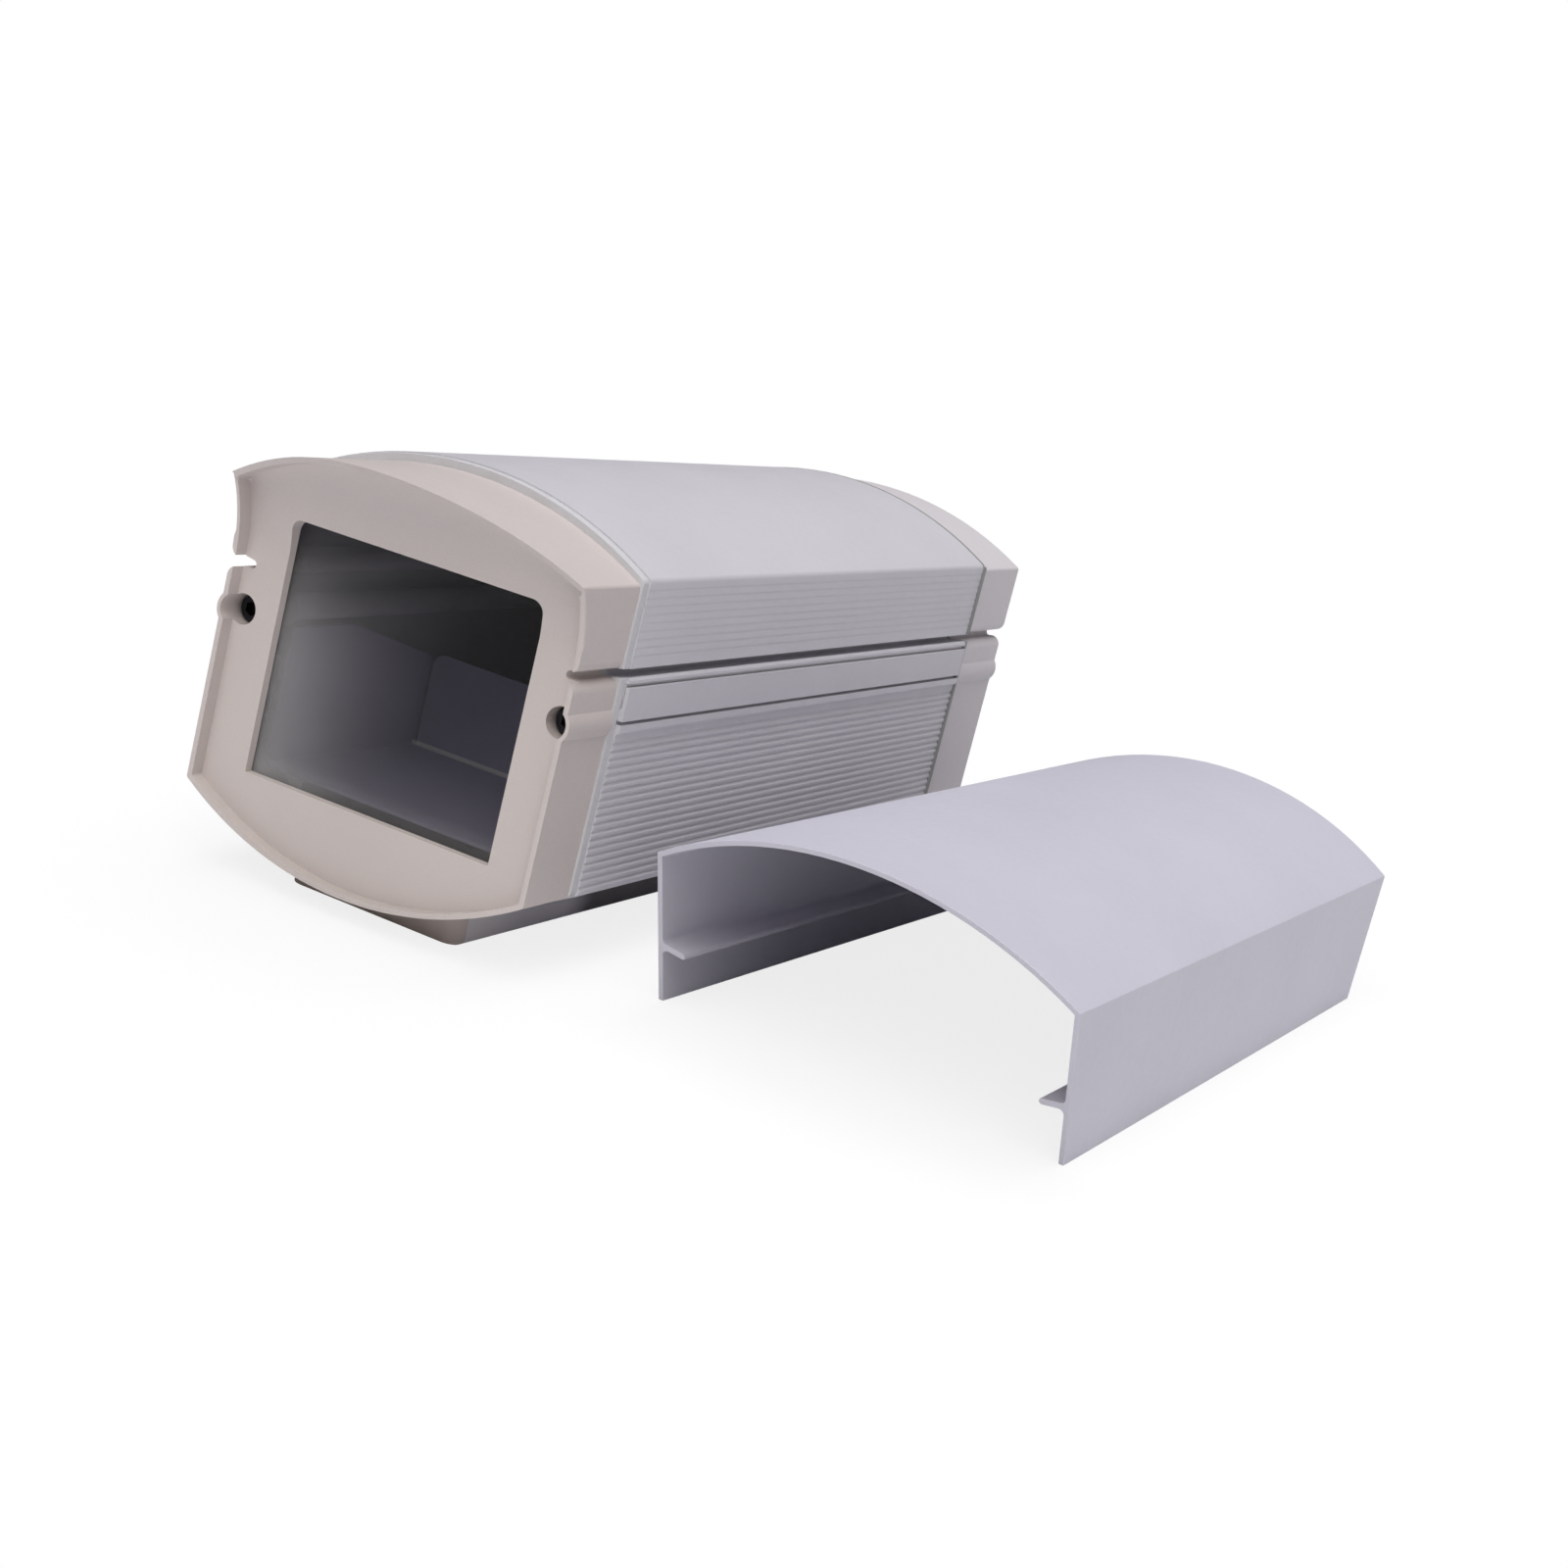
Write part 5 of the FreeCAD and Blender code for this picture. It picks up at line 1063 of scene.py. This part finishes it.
class HOUSING_OT_sunshield(bpy.types.Operator):
    """Round the edges of the loose sunshield and paint it"""

    bl_idname = "housing.sunshield"
    bl_label = "Sunshield"

    def execute(self, context):
        soft_solid("sunshield", "sunshield_extrusion", edges().shield, "shield_paint", 3)
        return {"FINISHED"}


# Studio

class HOUSING_OT_studio(bpy.types.Operator):
    """Set up the floor, the even light, three wide lamps and the camera"""

    bl_idname = "housing.studio"
    bl_label = "Studio"

    def floor(self):
        settings = studio()
        bpy.ops.object.select_all(action="DESELECT")
        bpy.ops.mesh.primitive_plane_add(size=settings.floor_size)
        ground = bpy.context.object
        ground.name = "floor"
        bpy.ops.object.mode_set(mode="EDIT")
        bpy.ops.mesh.select_all(action="SELECT")
        bpy.ops.mesh.subdivide(number_cuts=4)
        leave()
        material = bpy.data.materials.new("floor_paper")
        material.use_nodes = True
        nodes = material.node_tree.nodes
        nodes.remove(nodes["Principled BSDF"])
        look = NodeTree(material.node_tree)
        paper = look.add("ShaderNodeBsdfDiffuse", {"Color": opaque(settings.floor_colour)})
        bright = look.add("ShaderNodeEmission", {"Color": WHITE, "Strength": settings.floor_glow})
        share = look.times(look.seen_share(), settings.floor_share)
        both = look.mix(share, paper.outputs["BSDF"], bright.outputs["Emission"])
        look.feed(nodes["Material Output"], "Surface", both)
        ground.data.materials.append(material)

    def world(self):
        even_tint = (0.97, 0.98, 1.0, 1.0)
        world = bpy.data.worlds.new("studio")
        bpy.context.scene.world = world
        world.use_nodes = True
        world.node_tree.nodes.clear()
        look = NodeTree(world.node_tree)
        light = look.add("ShaderNodeBackground", {"Color": even_tint, "Strength": studio().ambient})
        backdrop = look.add("ShaderNodeBackground", {"Color": WHITE, "Strength": 1.0})
        both = look.mix(look.seen_share(), light.outputs["Background"], backdrop.outputs["Background"])
        look.add("ShaderNodeOutputWorld", {"Surface": both})

    def lamp(self, name, towards, strength, tint):
        """A wide lamp far away in a direction, so that its light is even over the whole floor."""
        bpy.ops.object.light_add(type="SUN", location=towards)
        lamp = bpy.context.object
        lamp.name = name
        lamp.data.angle = studio().softness
        lamp.data.energy = strength
        lamp.data.color = tint
        lamp.rotation_euler = (-Vector(towards)).to_track_quat("-Z", "Y").to_euler()

    def camera(self):
        settings = studio()
        yaw, pitch, roll = settings.camera_yaw, settings.camera_pitch, settings.camera_roll
        view = Vector((-math.sin(yaw) * math.cos(pitch), math.cos(yaw) * math.cos(pitch), -math.sin(pitch)))
        right = Vector((math.cos(yaw), math.sin(yaw), 0))
        up = right.cross(view)
        across = math.cos(roll) * right + math.sin(roll) * up
        upright = -math.sin(roll) * right + math.cos(roll) * up
        place = Vector(settings.camera_place)
        bpy.ops.object.camera_add()
        camera = bpy.context.object
        camera.name = "camera"
        turn = Matrix((across, upright, -view)).transposed().to_4x4()
        camera.matrix_world = Matrix.Translation(place) @ turn
        camera.data.sensor_width = 36.0
        camera.data.lens = settings.camera_lens
        camera.data.clip_start = 0.01
        camera.data.clip_end = 100.0
        bpy.context.scene.camera = camera

    def execute(self, context):
        settings = studio()
        self.floor()
        self.world()
        self.lamp("key_lamp", (0.3, -1.6, 2.0), settings.key_strength, settings.warm)
        self.lamp("top_lamp", (0.0, 0.4, 2.5), settings.top_strength, settings.cool)
        self.lamp("side_lamp", (2.3, -0.2, 1.0), settings.side_strength, settings.warm)
        self.camera()
        context.scene.view_settings.view_transform = "Standard"
        return {"FINISHED"}


STEPS = (
    HOUSING_OT_castings, HOUSING_OT_shells, HOUSING_OT_seals, HOUSING_OT_window, HOUSING_OT_cap_screws,
    HOUSING_OT_glands, HOUSING_OT_foot, HOUSING_OT_tray, HOUSING_OT_sunshield, HOUSING_OT_studio,
)
SETTINGS = (
    ("housing_edges", EdgeSizes), ("housing_hardware", HardwareSizes), ("housing_colours", PaintColours),
    ("housing_studio", StudioSettings),
)


class HOUSING_PT_panel(bpy.types.Panel):
    """Lists the steps and settings of the housing"""

    bl_idname = "HOUSING_PT_panel"
    bl_label = "Camera housing"
    bl_space_type = "VIEW_3D"
    bl_region_type = "UI"
    bl_category = "Housing"

    def draw(self, context):
        for step in STEPS:
            self.layout.operator(step.bl_idname)
        for name, group in SETTINGS:
            box = self.layout.box()
            for setting in group.__annotations__:
                box.prop(getattr(context.scene, name), setting)


def register():
    for _, group in SETTINGS:
        bpy.utils.register_class(group)
    for name, group in SETTINGS:
        setattr(bpy.types.Scene, name, PointerProperty(type=group))
    for step in STEPS:
        bpy.utils.register_class(step)
    bpy.utils.register_class(HOUSING_PT_panel)


def unregister():
    bpy.utils.unregister_class(HOUSING_PT_panel)
    for step in reversed(STEPS):
        bpy.utils.unregister_class(step)
    for name, group in reversed(SETTINGS):
        delattr(bpy.types.Scene, name)
        bpy.utils.unregister_class(group)


def main():
    register()
    bpy.ops.housing.castings()
    bpy.ops.housing.shells()
    bpy.ops.housing.seals()
    bpy.ops.housing.window()
    bpy.ops.housing.cap_screws()
    bpy.ops.housing.glands()
    bpy.ops.housing.foot()
    bpy.ops.housing.tray()
    bpy.ops.housing.sunshield()
    bpy.ops.housing.studio()


if __name__ == "__main__":
    main()
